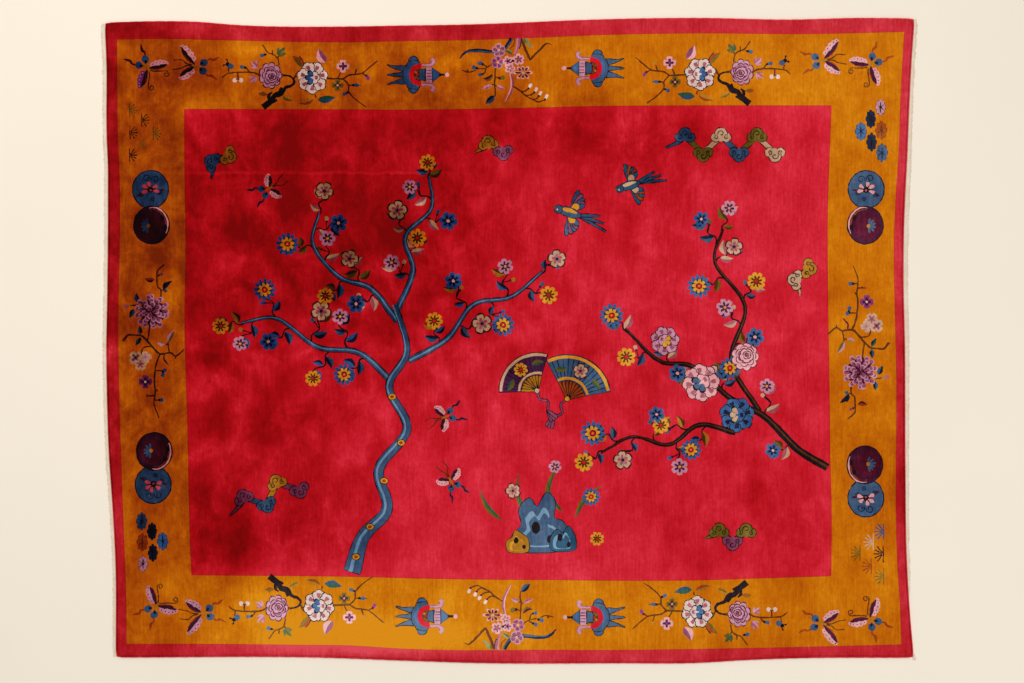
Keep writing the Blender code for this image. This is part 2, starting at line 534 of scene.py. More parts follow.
@dataclass(frozen=True)
class Peony:
    """A many-petalled flower, seen from above: a ring of ruffled petals closing on a swirled heart.

    Attributes:
        radius: half its width.
        tall: height over width.
        petals: petals in the outermost ring.
        outer, inner: yarns of the petals' tips and of their throats.
        line: yarn that outlines them.
        heart: yarn of the closed petals in the middle.
    """

    radius: float = 15.0
    tall: float = 1.08
    petals: int = 7
    outer: Yarn = Yarn.IVORY
    inner: Yarn = Yarn.DUSK
    line: Yarn = Yarn.INK
    heart: Yarn = Yarn.BLUE

    def ruffle(self, pen: Pen, radius: float, lobes: int = 5) -> None:
        """A ruffled petal, edged dark."""
        pen.lobed(0, 0, radius + 0.9, self.line, 1.12, lobes=lobes, depth=0.2)
        pen.lobed(0, 0, radius, self.outer, 1.12, lobes=lobes, depth=0.2)

    def draw(self, pen: Pen) -> None:
        """Draw the ring of petals, each darker in its throat, then the middle and the heart."""
        r = self.radius
        wide = min(2.1 / self.petals + 0.08, 0.42) * r
        for turn in 12 + np.arange(self.petals) * 360 / self.petals:
            angle = np.radians(turn)
            petal = pen.at(0.64 * r * np.cos(angle), 0.64 * r * self.tall * np.sin(angle), turn)
            self.ruffle(petal, wide)
            petal.petal(-0.5 * wide, 0, 0, 1.1 * wide, 0.8 * wide, self.inner, notch=0.16)
        self.ruffle(pen.at(0.1 * r, 0), 0.36 * r)
        pen.petal(0.02 * r, 0, 0, 0.4 * r, 0.3 * r, self.inner, notch=0.16)
        for turn in (126, 234, 180):
            pen.petal(0.06 * r, 0, turn, 0.58 * r, 0.4 * r, self.line)
            pen.petal(0.06 * r, 0, turn, 0.52 * r, 0.32 * r, self.heart, notch=0.1)
        pen.petal(-0.12 * r, 0, 0, 0.32 * r, 0.18 * r, self.outer)


@dataclass(frozen=True)
class RoundPeony:
    """A full flower with ruffled rings like waves, each ring's gaps in a darker yarn, closing on a swirl."""

    radius: float = 11.5
    tall: float = 1.15
    outer: Yarn = Yarn.LILAC
    line: Yarn = Yarn.MAROON
    side: Yarn = Yarn.MAUVE

    def draw(self, pen: Pen) -> None:
        """Draw side petals, then ruffled ovals one inside the other, each turned a little and edged dark."""
        r = self.radius
        for turn in (-70, -26, 20, 62):
            pen.petal(0, 0, turn, 1.1 * r, 0.62 * r, self.side, notch=0.12)
        for step, (share, lobes) in enumerate(((0.98, 9), (0.72, 7), (0.5, 5), (0.28, 4))):
            inner = pen.at(0.05 * r * step, -0.04 * r * step, turn=23 * step)
            inner.lobed(0, 0, share * r + 0.7, self.line, self.tall, lobes=lobes, depth=0.2)
            inner.lobed(0, 0, share * r - 0.3, self.outer, self.tall, lobes=lobes, depth=0.2)
            inner.lobed(0.5, 0.3, (share - 0.13) * r, self.side if step % 2 else self.outer, self.tall,
                lobes=lobes, depth=0.24)
        pen.curl(0.14 * r, -0.08 * r, 0.2 * r, 200, 420, 0.9, self.line)


@dataclass(frozen=True)
class Chrysanthemum:
    """A deep round flower head of short curled petals, with a cup where its stem joins at y below zero."""

    radius: float = 15.4
    petal: float = 6.6
    yarn: Yarn = Yarn.MAUVE
    tip: Yarn = Yarn.LILAC
    gap: Yarn = Yarn.MAROON
    seed: int = 3

    def draw(self, pen: Pen) -> None:
        """Draw rings of overlapping petals, the outermost first, with dark flecks between them."""
        chance = np.random.default_rng(self.seed)
        pen.patch([(-5, -0.55 * self.radius), (5, -0.55 * self.radius), (2.5, -0.98 * self.radius),
            (-2.5, -0.98 * self.radius)],
                  self.gap)
        pen.lobed(0, 0, 0.9 * self.radius, self.gap, 0.96, lobes=11, depth=0.14)
        for share, count in ((0.72, 13), (0.48, 10), (0.26, 7), (0.06, 3)):
            for angle in np.arange(count) * 2 * np.pi / count + 2 * share + chance.normal(0, 0.06, count):
                reach = share * self.radius * chance.uniform(0.94, 1.06)
                x, y = reach * np.cos(angle), reach * np.sin(angle)
                turn = np.degrees(angle)
                pen.petal(x, y, turn, self.petal, 0.86 * self.petal, self.tip)
                pen.petal(x - 0.2, y, turn + 8, 0.82 * self.petal, 0.62 * self.petal, self.yarn)
                pen.petal(x, y, turn - 20, 0.5 * self.petal, 0.26 * self.petal, self.gap)


@dataclass(frozen=True)
class Trefoil:
    """A leaf of three pointed lobes along its frame's x, the middle one the longest."""

    long: float = 10.0
    yarn: Yarn = Yarn.GREEN
    under: Yarn = Yarn.SAGE

    def draw(self, pen: Pen) -> None:
        """Draw the two side lobes, then the middle one over them."""
        for turn in (-38, 38):
            tip = (0.78 * self.long * np.cos(np.radians(turn)), 0.78 * self.long * np.sin(np.radians(turn)))
            pen.leaf((0, 0), tip, 0.36 * self.long, self.yarn, self.under)
        pen.leaf((0, 0), (self.long, 0), 0.44 * self.long, self.yarn, self.under)


@dataclass(frozen=True)
class PetalPair:
    """Two or three pale petals held by a dark fork, along its frame's x."""

    yarn: Yarn = Yarn.IVORY
    stalk: Yarn = Yarn.MAROON

    def draw(self, pen: Pen) -> None:
        """Draw the petals to either side and the fork between them."""
        pen.disc(1.0, 3.2, 2.3, self.yarn)
        pen.disc(1.0, -3.2, 2.3, self.yarn)
        pen.ribbon([(-4.5, 0), (-1, 0.2), (0.8, 1.6)], (1.1, 1.4, 1.0), self.stalk)
        pen.ribbon([(-1, 0), (0.8, -1.8)], (1.2, 1.0), self.stalk)


@dataclass(frozen=True)
class Blossom:
    """A loose flower of long separate petals about a small heart, wider than tall where stretch is over 1."""

    petals: int = 8
    radius: float = 10.0
    wide: float = 4.4
    stretch: float = 1.0
    yarn: Yarn = Yarn.IVORY
    throat: Yarn = Yarn.DUSK
    heart: Yarn = Yarn.ROSE

    def draw(self, pen: Pen) -> None:
        """Draw each petal with a throat, then the heart."""
        for turn in np.arange(self.petals) * 360 / self.petals:
            long = self.radius * (1 + (self.stretch - 1) * np.cos(np.radians(turn)) ** 2)
            x, y = 1.6 * np.cos(np.radians(turn)), 1.6 * np.sin(np.radians(turn))
            pen.petal(x, y, turn, long - 1.6, self.wide, self.yarn)
            pen.petal(x, y, turn, 0.62 * long, 0.7 * self.wide, self.throat)
        pen.disc(0, 0, 0.2 * self.radius, self.heart)


class Twig(NamedTuple):
    """A stem: the points it passes through, and its width from end to end."""

    points: tuple[tuple[float, float], ...]
    widths: tuple[float, ...] = (1.5, 1.3)
    yarn: Yarn = Yarn.BROWN


class Blade(NamedTuple):
    """A leaf from its start to its tip, its width, the yarns of its two halves, and its bend."""

    start: tuple[float, float]
    tip: tuple[float, float]
    wide: float
    yarn: Yarn
    under: Yarn
    bend: float = 0.0


class Head(NamedTuple):
    """A flower, bud or other motif on a spray: where it is, which way it points, and how big it is."""

    x: float
    y: float
    turn: float
    motif: object
    size: float = 1.0


@dataclass(frozen=True)
class Spray:
    """Stems with leaves and flowers, drawn in that order."""

    twigs: tuple[Twig, ...]
    blades: tuple[Blade, ...]
    heads: tuple[Head, ...]

    def draw(self, pen: Pen) -> None:
        """Draw the spray."""
        for twig in self.twigs:
            pen.ribbon(*twig)
        for blade in self.blades:
            pen.leaf(*blade)
        for head in self.heads:
            head.motif.draw(pen.at(head.x, head.y, head.turn, head.size))


@dataclass(frozen=True)
class Censer:
    """A footed bowl with a lid, its upward way along its frame's x, outlined in a dark yarn.

    Attributes:
        feet: how far its three feet reach below its middle.
        top: how far its lid's cone reaches above it.
        wide: half its width at the bowl's shoulders.
    """

    feet: float = 28.0
    top: float = 25.0
    wide: float = 18.5
    metal: Yarn = Yarn.STEEL
    shine: Yarn = Yarn.BLUE
    collar: Yarn = Yarn.RED

    def half(self, pen: Pen, side: int) -> None:
        """Draw what lies on one side of its middle line."""
        lined = replace(pen, rim=Yarn.INK)
        lined.patch([(-11, 4 * side), (-18, 5.4 * side), (-self.feet, 10 * side), (-21, 8.6 * side),
            (-9, 9 * side)], self.metal)
        lined.disc(-1.6, (self.wide - 4.9) * side, 4.7, self.metal)
        pen.disc(-1.4, (self.wide - 4.6) * side, 2.9, self.shine)
        pen.disc(-1.2, (self.wide - 4.6) * side, 1.0, Yarn.NAVY)
        handle = [(5, 10 * side), (11, 9.6 * side), (16.4, 10.4 * side), (18.4, 13.4 * side),
            (16.6, 16.4 * side)]
        pen.ribbon(handle, (2.8, 2.8, 3.2, 4.2, 4.6), Yarn.MAUVE)
        pen.ribbon(handle, (1.7, 1.7, 2.2, 3.2, 3.6), Yarn.LILAC)

    def draw(self, pen: Pen) -> None:
        """Draw both sides, then the bowl, its collar, neck and lid."""
        lined = replace(pen, rim=Yarn.INK)
        self.half(pen, 1)
        self.half(pen, -1)
        lined.patch([(-11, 2), (-18, 1.5), (-self.feet, 0), (-18, -1.5), (-11, -2)], self.metal)
        wide = self.wide - 5.5
        lined.patch([(-12, 0), (-11, 6), (-8.5, 9.5), (-6, wide), (3, wide + 1), (4.6, 8), (5, 0),
                     (4.6, -8), (3, -wide - 1), (-6, -wide), (-8.5, -9.5), (-11, -6)], self.metal)
        pen.patch([(-9.5, 0), (-7, 7), (-4.6, 9.5), (-5.6, 5), (-6.4, 0), (-5.6, -5), (-4.6, -9.5),
            (-7, -7)], self.shine)
        pen.at(5, 0).sector(6.2, 11.2, 82, 278, self.collar)
        pen.at(5, 0).sector(0.1, 6.4, 84, 276, Yarn.BROWN)
        for x, y, yarn in ((0.8, 2.6, Yarn.OCHRE), (1.0, -2.6, Yarn.OLIVE), (2.6, 0.4, Yarn.RED),
                (3.4, 4, Yarn.RUST), (3.6, -4, Yarn.RUST)):
            pen.disc(x, y, 1.3, yarn)
        lined.patch([(4.6, -4.4), (4.2, 0), (4.6, 4.4), (8, 5.2), (10, 5.4), (10, -5.4), (8, -5.2)],
            self.metal)
        pen.facet([(9.8, -6.4), (9.8, 6.4), (11.4, 6.4), (11.4, -6.4)], Yarn.INK)
        pen.patch([(11.2, -6.6), (11.2, 6.6), (14, 7.4), (16.8, 6.6), (16.8, -6.6), (14, -7.4)], Yarn.LILAC)
        for y in (-4.4, -1.5, 1.5, 4.4):
            pen.facet([(11.8, y - 0.4), (16.6, y - 0.4), (16.6, y + 0.4), (11.8, y + 0.4)], Yarn.PLUM)
        lined.facet([(17.4, -7.4), (self.top, -0.8), (self.top, 0.8), (17.4, 7.4)], self.metal)
        pen.facet([(18.4, -4.8), (23, -1), (23, 0.6), (18.4, 3)], self.shine)
        pen.ribbon([(self.top - 0.8, 0), (self.top + 5.2, 0)], (2.6, 2.2), Yarn.INK)
        pen.disc(self.top + 7, 0, 2.2, Yarn.ROSE)


@dataclass(frozen=True)
class Roundels:
    """Two round boxes from above: a blue one with a flower, and a dark one over its edge at y below zero.

    Attributes:
        radius: of the blue one, and of the dark one.
        apart: from the blue one's middle to the dark one's.
    """

    radius: tuple[float, float] = (18.6, 18.5)
    apart: float = 35.8
    tall: float = 1.05
    flower: Yarn = Yarn.PINK

    def draw(self, pen: Pen) -> None:
        """Draw the blue box with its flower, then the dark one with a fan of leaves and a pale rim line."""
        blue, dark = self.radius
        pen.disc(0, 0, blue, Yarn.NAVY, self.tall)
        pen.disc(0, 0, blue - 1.1, Yarn.STEEL, self.tall)
        for x, y, radius in ((8.5, -3, 3.0), (-9, -5.5, 2.6), (2, -9.5, 2.6)):
            pen.disc(x, y, radius, Yarn.DUSKY_BLUE)
        pen.curl(-4, 11, 4.0, -20, 430, 1.0, Yarn.NAVY)
        pen.curl(5, 10, 4.0, 200, -430, 1.0, Yarn.NAVY)
        for turn, long in ((150, 9.6), (105, 8.6), (35, 8.8), (-12, 9.4), (200, 9.4)):
            pen.petal(0, -0.4, turn, long, 4.6, Yarn.INK)
            pen.petal(2.6 * np.cos(np.radians(turn)), -0.4 + 2.6 * np.sin(np.radians(turn)), turn,
                long - 3, 4.2, self.flower)
        pen.disc(0, -0.6, 2.9, Yarn.INK)
        pen.disc(0.2, -0.9, 1.2, Yarn.DUSK)
        pen.leaf((9, -1), (14.5, -0.6), 2.2, Yarn.MAROON, Yarn.MAROON)
        pen.leaf((-9, -5), (-14, -7), 2.2, Yarn.MAROON, Yarn.MAROON)
        low = pen.at(1.0, -self.apart)
        low.disc(0, 0, dark, Yarn.INK, self.tall)
        low.disc(0, 0, dark - 0.9, Yarn.AUBERGINE, self.tall)
        low.disc(-2, -1, dark - 5, Yarn.MAROON)
        angle = np.radians(np.linspace(104, -28, 15))
        rim = np.stack([1.5 + (dark - 3.6) * np.cos(angle), (dark - 0.8) * np.sin(angle)], axis=1)
        low.fill(ribbon_outline(rim, (0.5, 1.5, 1.3, 1.6, 0.5)), Yarn.ROSE)
        low.fill(ribbon_outline(rim * 0.88, (0.2, 0.8, 1.6, 0.8, 0.2)), Yarn.RUST)
        low.patch([(8.5, 9), (11.5, 10), (13, 6), (10, 5)], Yarn.INK)
        low.patch([(12, -1), (14.5, 1), (14.8, -4), (12.5, -5)], Yarn.INK)
        for turn in (100, 130, 160, 190, 225, 262):
            low.petal(-3.4, -0.6, turn, 7.6, 2.4, Yarn.STEEL)
        low.disc(-3.2, -0.8, 2.0, Yarn.OCHRE)


@dataclass(frozen=True)
class Rosette:
    """An upright oval of eight lobes with a darker figure in its middle."""

    yarn: Yarn = Yarn.STEEL
    mark: Yarn = Yarn.NAVY
    wide: float = 5.3
    tall: float = 8.6

    def draw(self, pen: Pen) -> None:
        """Draw the lobed oval, its cross lines and its waist."""
        pen.lobed(0, 0, self.wide + 0.5, self.mark, (self.tall + 0.5) / (self.wide + 0.5), lobes=8, depth=0.2)
        pen.lobed(0, 0, self.wide + 0.1, self.yarn, self.tall / self.wide, lobes=8, depth=0.24)
        pen.ribbon([(0, 0.72 * self.tall), (0, -0.72 * self.tall)], (0.5, 1.3, 0.9, 1.3, 0.5), self.mark)
        across = 0.62 * self.wide
        for rise in (0.3 * self.tall, -0.3 * self.tall):
            pen.ribbon([(-across, rise), (across, -rise)], (0.4, 1.0, 0.4), self.mark)
        pen.disc(0, 0, 1.3, self.mark)


@dataclass(frozen=True)
class GrassTuft:
    """A thin upright bar with short blades that fan from it to its frame's right."""

    yarn: Yarn = Yarn.INK
    tall: float = 12.0
    reach: float = 6.8

    def draw(self, pen: Pen) -> None:
        """Draw the bar and five blades."""
        half = self.tall / 2
        pen.ribbon([(0, half), (0, -half)], (0.7, 1.0, 0.7), self.yarn)
        for angle in (-52, -26, 0, 26, 52):
            x, y = np.cos(np.radians(angle)), np.sin(np.radians(angle))
            pen.ribbon([(x, y), (self.reach * x, self.reach * y)], (0.7, 0.9), self.yarn)


# A gnarled dark branch with a pale peony, a mauve one, and buds on thin twigs that run out both ways.
PEONY_SPRAY = Spray(
    twigs=table(
        Twig,
        (((-28.4, -0.8), (-33, 2.4), (-41.5, 3.7), (-54, 3.4), (-62, 2), (-67, -1.8)), (1.8, 1.6, 1.2)),
        (((-10, 10.6), (-11.6, 18), (-16.5, 21.5), (-20.9, 23.1), (-26.8, 31.2)), (1.6, 1.5, 1.2)),
        (((-60, 2.4), (-60.8, 8)),), (((59.6, -9.8), (63.4, -9.4)),), (((-16.5, 21), (-16.5, 26)),),
        (((-11.6, 18), (-8.8, 21.5)),), (((-45, 8.5), (-42, 7), (-39.8, 3.6)),),
        (((-22, 21.8), (-26, 20.6)),), (((-51.2, 3.4), (-51.2, -1.5)),),
        (((-13.3, -0.2), (-2.4, -0.2)), (1.2, 1.2)), (((5.4, -3), (6.4, -0.6), (15, -1.5)), (1.5, 1.5)),
        (((6, -1.8), (7, 2), (11.7, 5.4)), (1.2, 1.2)),
        (((36.6, -2.4), (48.6, -2.9), (54, -2.9), (60.5, 0.7), (71.3, 2), (77.8, 6.3), (88.1, 15)),
         (1.8, 1.6, 1.2)),
        (((54, -2.9), (59.4, -9), (60, -16.5), (67, -24), (76.8, -31)), (1.6, 1.4, 1.1)),
        (((48.6, -2.4), (51.6, 3.6)),), (((65.9, 1.2), (67.6, 7)),), (((73, 2.6), (76.6, 0.4)),),
        (((36.4, 12.6), (35.2, 15)),), (((26.3, -18.6), (26.9, -22)), (1.4, 1.4)),
        (((-17, -22), (-19.6, -18.8), (-23, -18.6)), (1.1, 1)),
        (((-26.2, -31.6), (-18, -25), (-14, -19.6), (-8, -17.6), (-3.6, -12), (2.2, -9.8), (5.2, -6),
         (2.2, -1.2), (-7, 1.4)), (6.6, 6.2, 5, 6, 3.6, 3, 2.4, 1.8, 1), Yarn.INK),
        (((-19, -27), (-20.4, -19.6), (-17, -16.6)), (3.6, 3.2, 1.6), Yarn.INK),
        (((-19, -27.4), (-12, -24)), (3.4, 2.4), Yarn.INK),
        (((-10, -18), (-7.4, -11.4)), (4, 2.6), Yarn.INK),
    ),
    blades=table(
        Blade, ((36.8, 12.8), (29.4, 27.2), 9.4, Yarn.ROSE, Yarn.MAUVE, 0.1),
        ((14.6, 8.4), (9.8, 20.6), 4.6, Yarn.RUST, Yarn.MAROON),
        ((14.2, 8.2), (3, 20), 6.4, Yarn.OLIVE, Yarn.RUST, -0.08),
        ((28.6, -24.2), (46.6, -21.4), 7.4, Yarn.GREEN, Yarn.TEAL, -0.04),
        ((24.9, -22.8), (9.6, -27.6), 6, Yarn.RUST, Yarn.OCHRE, 0.06),
        ((-6.6, -20.2), (3.8, -25.4), 4.6, Yarn.OCHRE, Yarn.OLIVE),
        ((-22, -18.6), (-31, -18), 4.4, Yarn.RUST, Yarn.OLIVE),
    ),
    heads=table(
        Head, (-62.4, 12.4, -36, Bud(8.4, 6.4)), (-63.5, 11.2, 200, Bud(3.4, 2, Yarn.INK)),
        (-61.6, 14.4, 115, Bud(3.4, 2, Yarn.INK)), (-43.4, 8.2, 170, Bud(6.4, 4.4)),
        (-23.8, 21.2, 192, Bud(6, 4.4)), (70.9, -9.4, 180, Bud(2.4, 1, Yarn.INK)),
        (63.5, -9.4, 0, Bud(7, 4.2)), (59, -16.6, 205, Bud(6.4, 4)),
        (77, 0.6, -55, Bud(6, 4.2, Yarn.ORCHID, Yarn.MAROON)),
        (67.8, 6.6, 80, Bud(5, 3.6, Yarn.OCHRE, Yarn.RUST)), (-51.2, -3.4, -90, PetalPair()),
        (-31.6, 8.2, 135, Trefoil(9.6, Yarn.LILAC, Yarn.DUSK)),
        (-33.2, -0.8, 220, Trefoil(8.6, Yarn.LILAC, Yarn.DUSK)),
        (-10.6, 20.4, 52, Trefoil(10.6, Yarn.GREEN, Yarn.OLIVE)),
        (53.9, 9.6, 0, SmallFlower(4, 6.8, Yarn.ROSE, Yarn.PLUM, Yarn.ORCHID)),
        (48.6, -9.6, 0, SmallFlower(4, 6.2, Yarn.OLIVE, Yarn.MAROON, Yarn.ROSE)),
        (-18.7, 0.3, 0, RoundPeony()), (23.4, -1.8, 0, Peony()),
    ),
)


# Long narrow leaves and flower stems that hang from one place, with orchid flowers where they cross.
BELL = Bud(6.6, 3.6, Yarn.IVORY, Yarn.MAROON)
ORCHID_SPRAY = Spray(
    twigs=table(
        Twig,
        (((3.4, 21.6), (0.6, 16.6), (-4, 11), (-13.5, 8), (-27.5, 9.2), (-38.3, 9), (-44.7, 5.8),
         (-48.6, 1.2)), (3.6, 3.6, 3.4, 3.8, 3.2, 1.2), Yarn.NAVY),
        
        (((4.4, 21.4), (1.6, 16.6), (-3.4, 10.6), (-13.5, 7.4), (-27.5, 8.5), (-38, 8.2), (-44, 5.4)),
         (1.3, 1.4, 1.4, 1.6, 1.2, 0.6), Yarn.STEEL),
        (((6.6, 21.6), (5.7, 15.3), (1.8, 10.9)), (1.4, 1.2), Yarn.RUST),
        (((11, 21.6), (9.8, 13.4), (7, 5)), (4.6, 3, 2), Yarn.DUSK),
        (((9.6, 21.6), (8.8, 13.4), (6.6, 6)), (1.6, 1.2, 0.8), Yarn.LILAC),
        (((13.6, 21.6), (12.6, 15), (11, 11)), (1.6, 1), Yarn.PLUM),
        (((2.5, -13), (4.2, -21), (3.1, -30.6), (-3.6, -43.6)), (2.2, 3.4, 3, 0.8), Yarn.DUSK),
        (((1.8, -14), (3.2, -21), (2.2, -30.6), (-3.4, -42.4)), (0.9, 1.4, 1.2, 0.4), Yarn.ROSE),
        (((14, 20.4), (16.5, 12.1), (20.6, 3.2), (22.2, 0.6), (24.4, 2.6), (29.9, 8.3), (38.2, 16.2),
         (43.4, 15)), (2.6, 2.6, 2.2, 2.2, 2.2, 0.8), Yarn.BROWN),
        (((14.8, 20.4), (17.2, 12.4), (21.2, 4)),), (((16.4, 21.2), (16.8, 17)), (3.6, 1.6), Yarn.OLIVE),
        (((18.2, 21.4), (20.3, 16), (24.4, 12.4)), (1.6, 3.4, 1), Yarn.SAGE),
        (((5, -26.4), (12.7, -31.5), (17.8, -36), (24.8, -39.8), (30.5, -42.2), (36.3, -40.2)),
         (1.3, 1.6, 1.3)),
        (((12.7, -31.3), (16.6, -31.6), (20.2, -29)),), (((17.8, -35.6), (22.6, -35.2), (26, -33)),),
        (((24.8, -39.6), (28, -39.2), (30.4, -36.8)),),
        (((-14, -2.8), (-21.1, -7.6), (-26.2, -8.9), (-31.3, -8.6)), (1.3, 1.2)),
        (((-21.1, -7.4), (-25.6, -4.2)),), (((-22, -8.8), (-23.4, -13), (-26, -14.6)),),
        (((-32.6, -10.5), (-39, -12.4), (-46, -10.5)), (1.2, 1.1)), (((-39.6, -12.2), (-41, -9.8)),),
        (((-12.6, -7), (-13.1, -17.8), (-13.6, -24.8), (-12.6, -30.6), (-13.2, -37)), (1.5, 1.7, 1.3)),
        (((-13, -17), (-9, -18.6)),), (((-13.4, -25.4), (-9.6, -27)),), (((-13.4, -24.4), (-17, -25.2)),),
    ),
    blades=table(
        Blade, ((-2.8, 9.8), (4.6, 4.8), 3.6, Yarn.SAGE, Yarn.GREEN, 0.12),
        ((-13.4, -36), (-22.6, -44.4), 6.2, Yarn.STEEL, Yarn.NAVY),
        ((-15.2, -14.4), (-25.8, -18.4), 4.8, Yarn.OLIVE, Yarn.MAROON, 0.24),
        ((-16, -25.2), (-25.8, -28.9), 3.8, Yarn.DUSK, Yarn.LILAC),
        ((-11.6, -26.2), (-3.4, -29.2), 4.4, Yarn.LILAC, Yarn.DUSK),
    ),
    heads=table(
        Head, (-30.8, -8.4, 165, Bud(6, 4.8)), (-25.2, -4.6, 155, Bud(5.6, 4.6)),
        (-25.4, -14.4, 190, Bud(5, 4)), (-9, -18.4, 8, Bud(6.6, 5.4, Yarn.OLIVE, Yarn.MAROON)),
        (20.2, -29, 58, BELL), (26, -33, 58, BELL), (30.6, -36.8, 62, BELL), (36.8, -40.2, 64, BELL),
        (-9.2, 9.6, 25, Blossom(5, 6.8, 6.6, 1, Yarn.LILAC, Yarn.MAUVE, Yarn.ROSE)),
        (-10.4, -2.6, 80, Blossom(5, 6.6, 6.4, 1, Yarn.LILAC, Yarn.ORCHID, Yarn.ROSE)),
        (14.9, -12.8, 0, Blossom(8, 6.6, 3.2, 1.5, Yarn.ROSE, Yarn.MAROON, Yarn.FAWN)),
        (0, -1.4, 20, SmallFlower(5, 6, Yarn.ROSE, Yarn.MAUVE, Yarn.INK)),
        (10.6, 0.4, 80, SmallFlower(5, 6.4, Yarn.ROSE, Yarn.MAUVE, Yarn.OCHRE)),
        (2, -8.6, 50, SmallFlower(5, 5.8, Yarn.ROSE, Yarn.DUSK, Yarn.IVORY)),
        (3.4, -2.2, 40, Bud(3.6, 2.6, Yarn.INK)),
    ),
)


# An upright spray: a mauve flower head above, a loose pale one below, and buds and leaves between.
COLUMN_SPRAY = Spray(
    twigs=table(
        Twig,
        (((10.6, 40), (10.8, 50.4), (7.6, 54), (7, 60), (7, 69), (10, 72.6), (14.4, 76.4)),
         (1.7, 1.6, 1.3)),
        (((11, 50.4), (14, 51)),), (((7, 64.6), (9.4, 65.6)),),
        (((-0.4, 15), (-1.4, 6), (-2.4, 0)), (1.7, 1.6)),
        (((-27, -0.4), (-22, 5.6), (-14, 5.6), (-8.6, 5), (-2.4, -0.6), (4, -8), (10, -13), (20, -12),
         (26, -15), (34, -8.6)), (2.6, 1.6, 2, 2.2, 1.8, 1.4)),
        (((1, -5.6), (-5, -6.2), (-8, -9), (-8.8, -16)), (1.4, 1.3)),
        (((-12, 36), (-17, 35.4), (-21, 35)),), (((19.6, -12), (18.4, -6), (18, 1)), (1.5, 1.3)),
        (((18.2, -4), (14, -3.2)),), (((25.6, -15), (25.4, -18)),),
        (((14.4, -13.6), (14.2, -19), (19.6, -25)), (1.4, 1.8, 0.6), Yarn.MAROON),
        (((10, -13), (6.4, -22), (4.6, -34), (4.2, -42), (5.2, -49.5), (4.2, -58), (4.4, -65), (9, -77)),
         (1.9, 1.8, 1.6, 1.1)),
        (((6, -29.6), (12.6, -30)),), (((4.4, -54.6), (-0.4, -55)),), (((4.4, -59.4), (9.4, -59.2)),),
        (((4.8, -48), (7.6, -50.4)),),
    ),
    blades=table(
        Blade, ((13, 50.6), (22.6, 60), 4.6, Yarn.INK, Yarn.NAVY, 0.12),
        ((13.4, 51.4), (15.4, 59.6), 3.8, Yarn.NAVY, Yarn.INK),
        ((13.6, 51), (17.6, 49), 3.8, Yarn.STEEL, Yarn.GREEN),
        ((4.6, 61.6), (-5.4, 62.4), 5, Yarn.MAROON, Yarn.RUST, 0.12),
        ((-13.4, 38.4), (-13.4, 48), 5, Yarn.TEAL, Yarn.INK),
        ((-16.2, 32), (-20.4, 22.6), 5.4, Yarn.TEAL, Yarn.INK),
        ((-9.2, 6.6), (-10.6, 15.4), 4.8, Yarn.TEAL, Yarn.INK),
        ((-9.2, 3.8), (-14.4, -4.8), 4.6, Yarn.NAVY, Yarn.GREEN),
        ((17.6, -1.6), (24.6, 10.6), 5.2, Yarn.LILAC, Yarn.OLIVE, 0.06),
        ((15.4, -3.4), (6.6, -1.4), 5.2, Yarn.LILAC, Yarn.OCHRE),
    ),
    heads=table(
        Head, (9, 65.6, 20, Bud(4.4, 3.4, Yarn.MAUVE, Yarn.MAROON)),
        (-20.6, 35, 190, Bud(6.4, 4.8, Yarn.DUSK, Yarn.OCHRE)), (12.4, -30.2, 20, Bud(4.8, 4.6)),
        (13.2, -31.4, -100, Bud(5.6, 4.6)), (9, -59.2, 0, Bud(5.2, 4.8)),
        (-0.2, -55, 180, Bud(4.4, 3.4, Yarn.RUST, Yarn.MAROON)), (1.8, 29, 0, Chrysanthemum()),
        (-14.5, -17, 40, SmallFlower(4, 7.4, Yarn.FAWN, Yarn.MAUVE, Yarn.MAROON)),
        (-4.5, -16.5, 10, SmallFlower(4, 6.4, Yarn.FAWN, Yarn.LILAC, Yarn.OCHRE)),
        (-9.6, -23.5, 70, SmallFlower(5, 7, Yarn.FAWN, Yarn.DUSK, Yarn.MAUVE)),
        (-4.7, -41, 0, SmallFlower(4, 7.2, Yarn.ORCHID, Yarn.MAROON, Yarn.IVORY)),
    ),
)


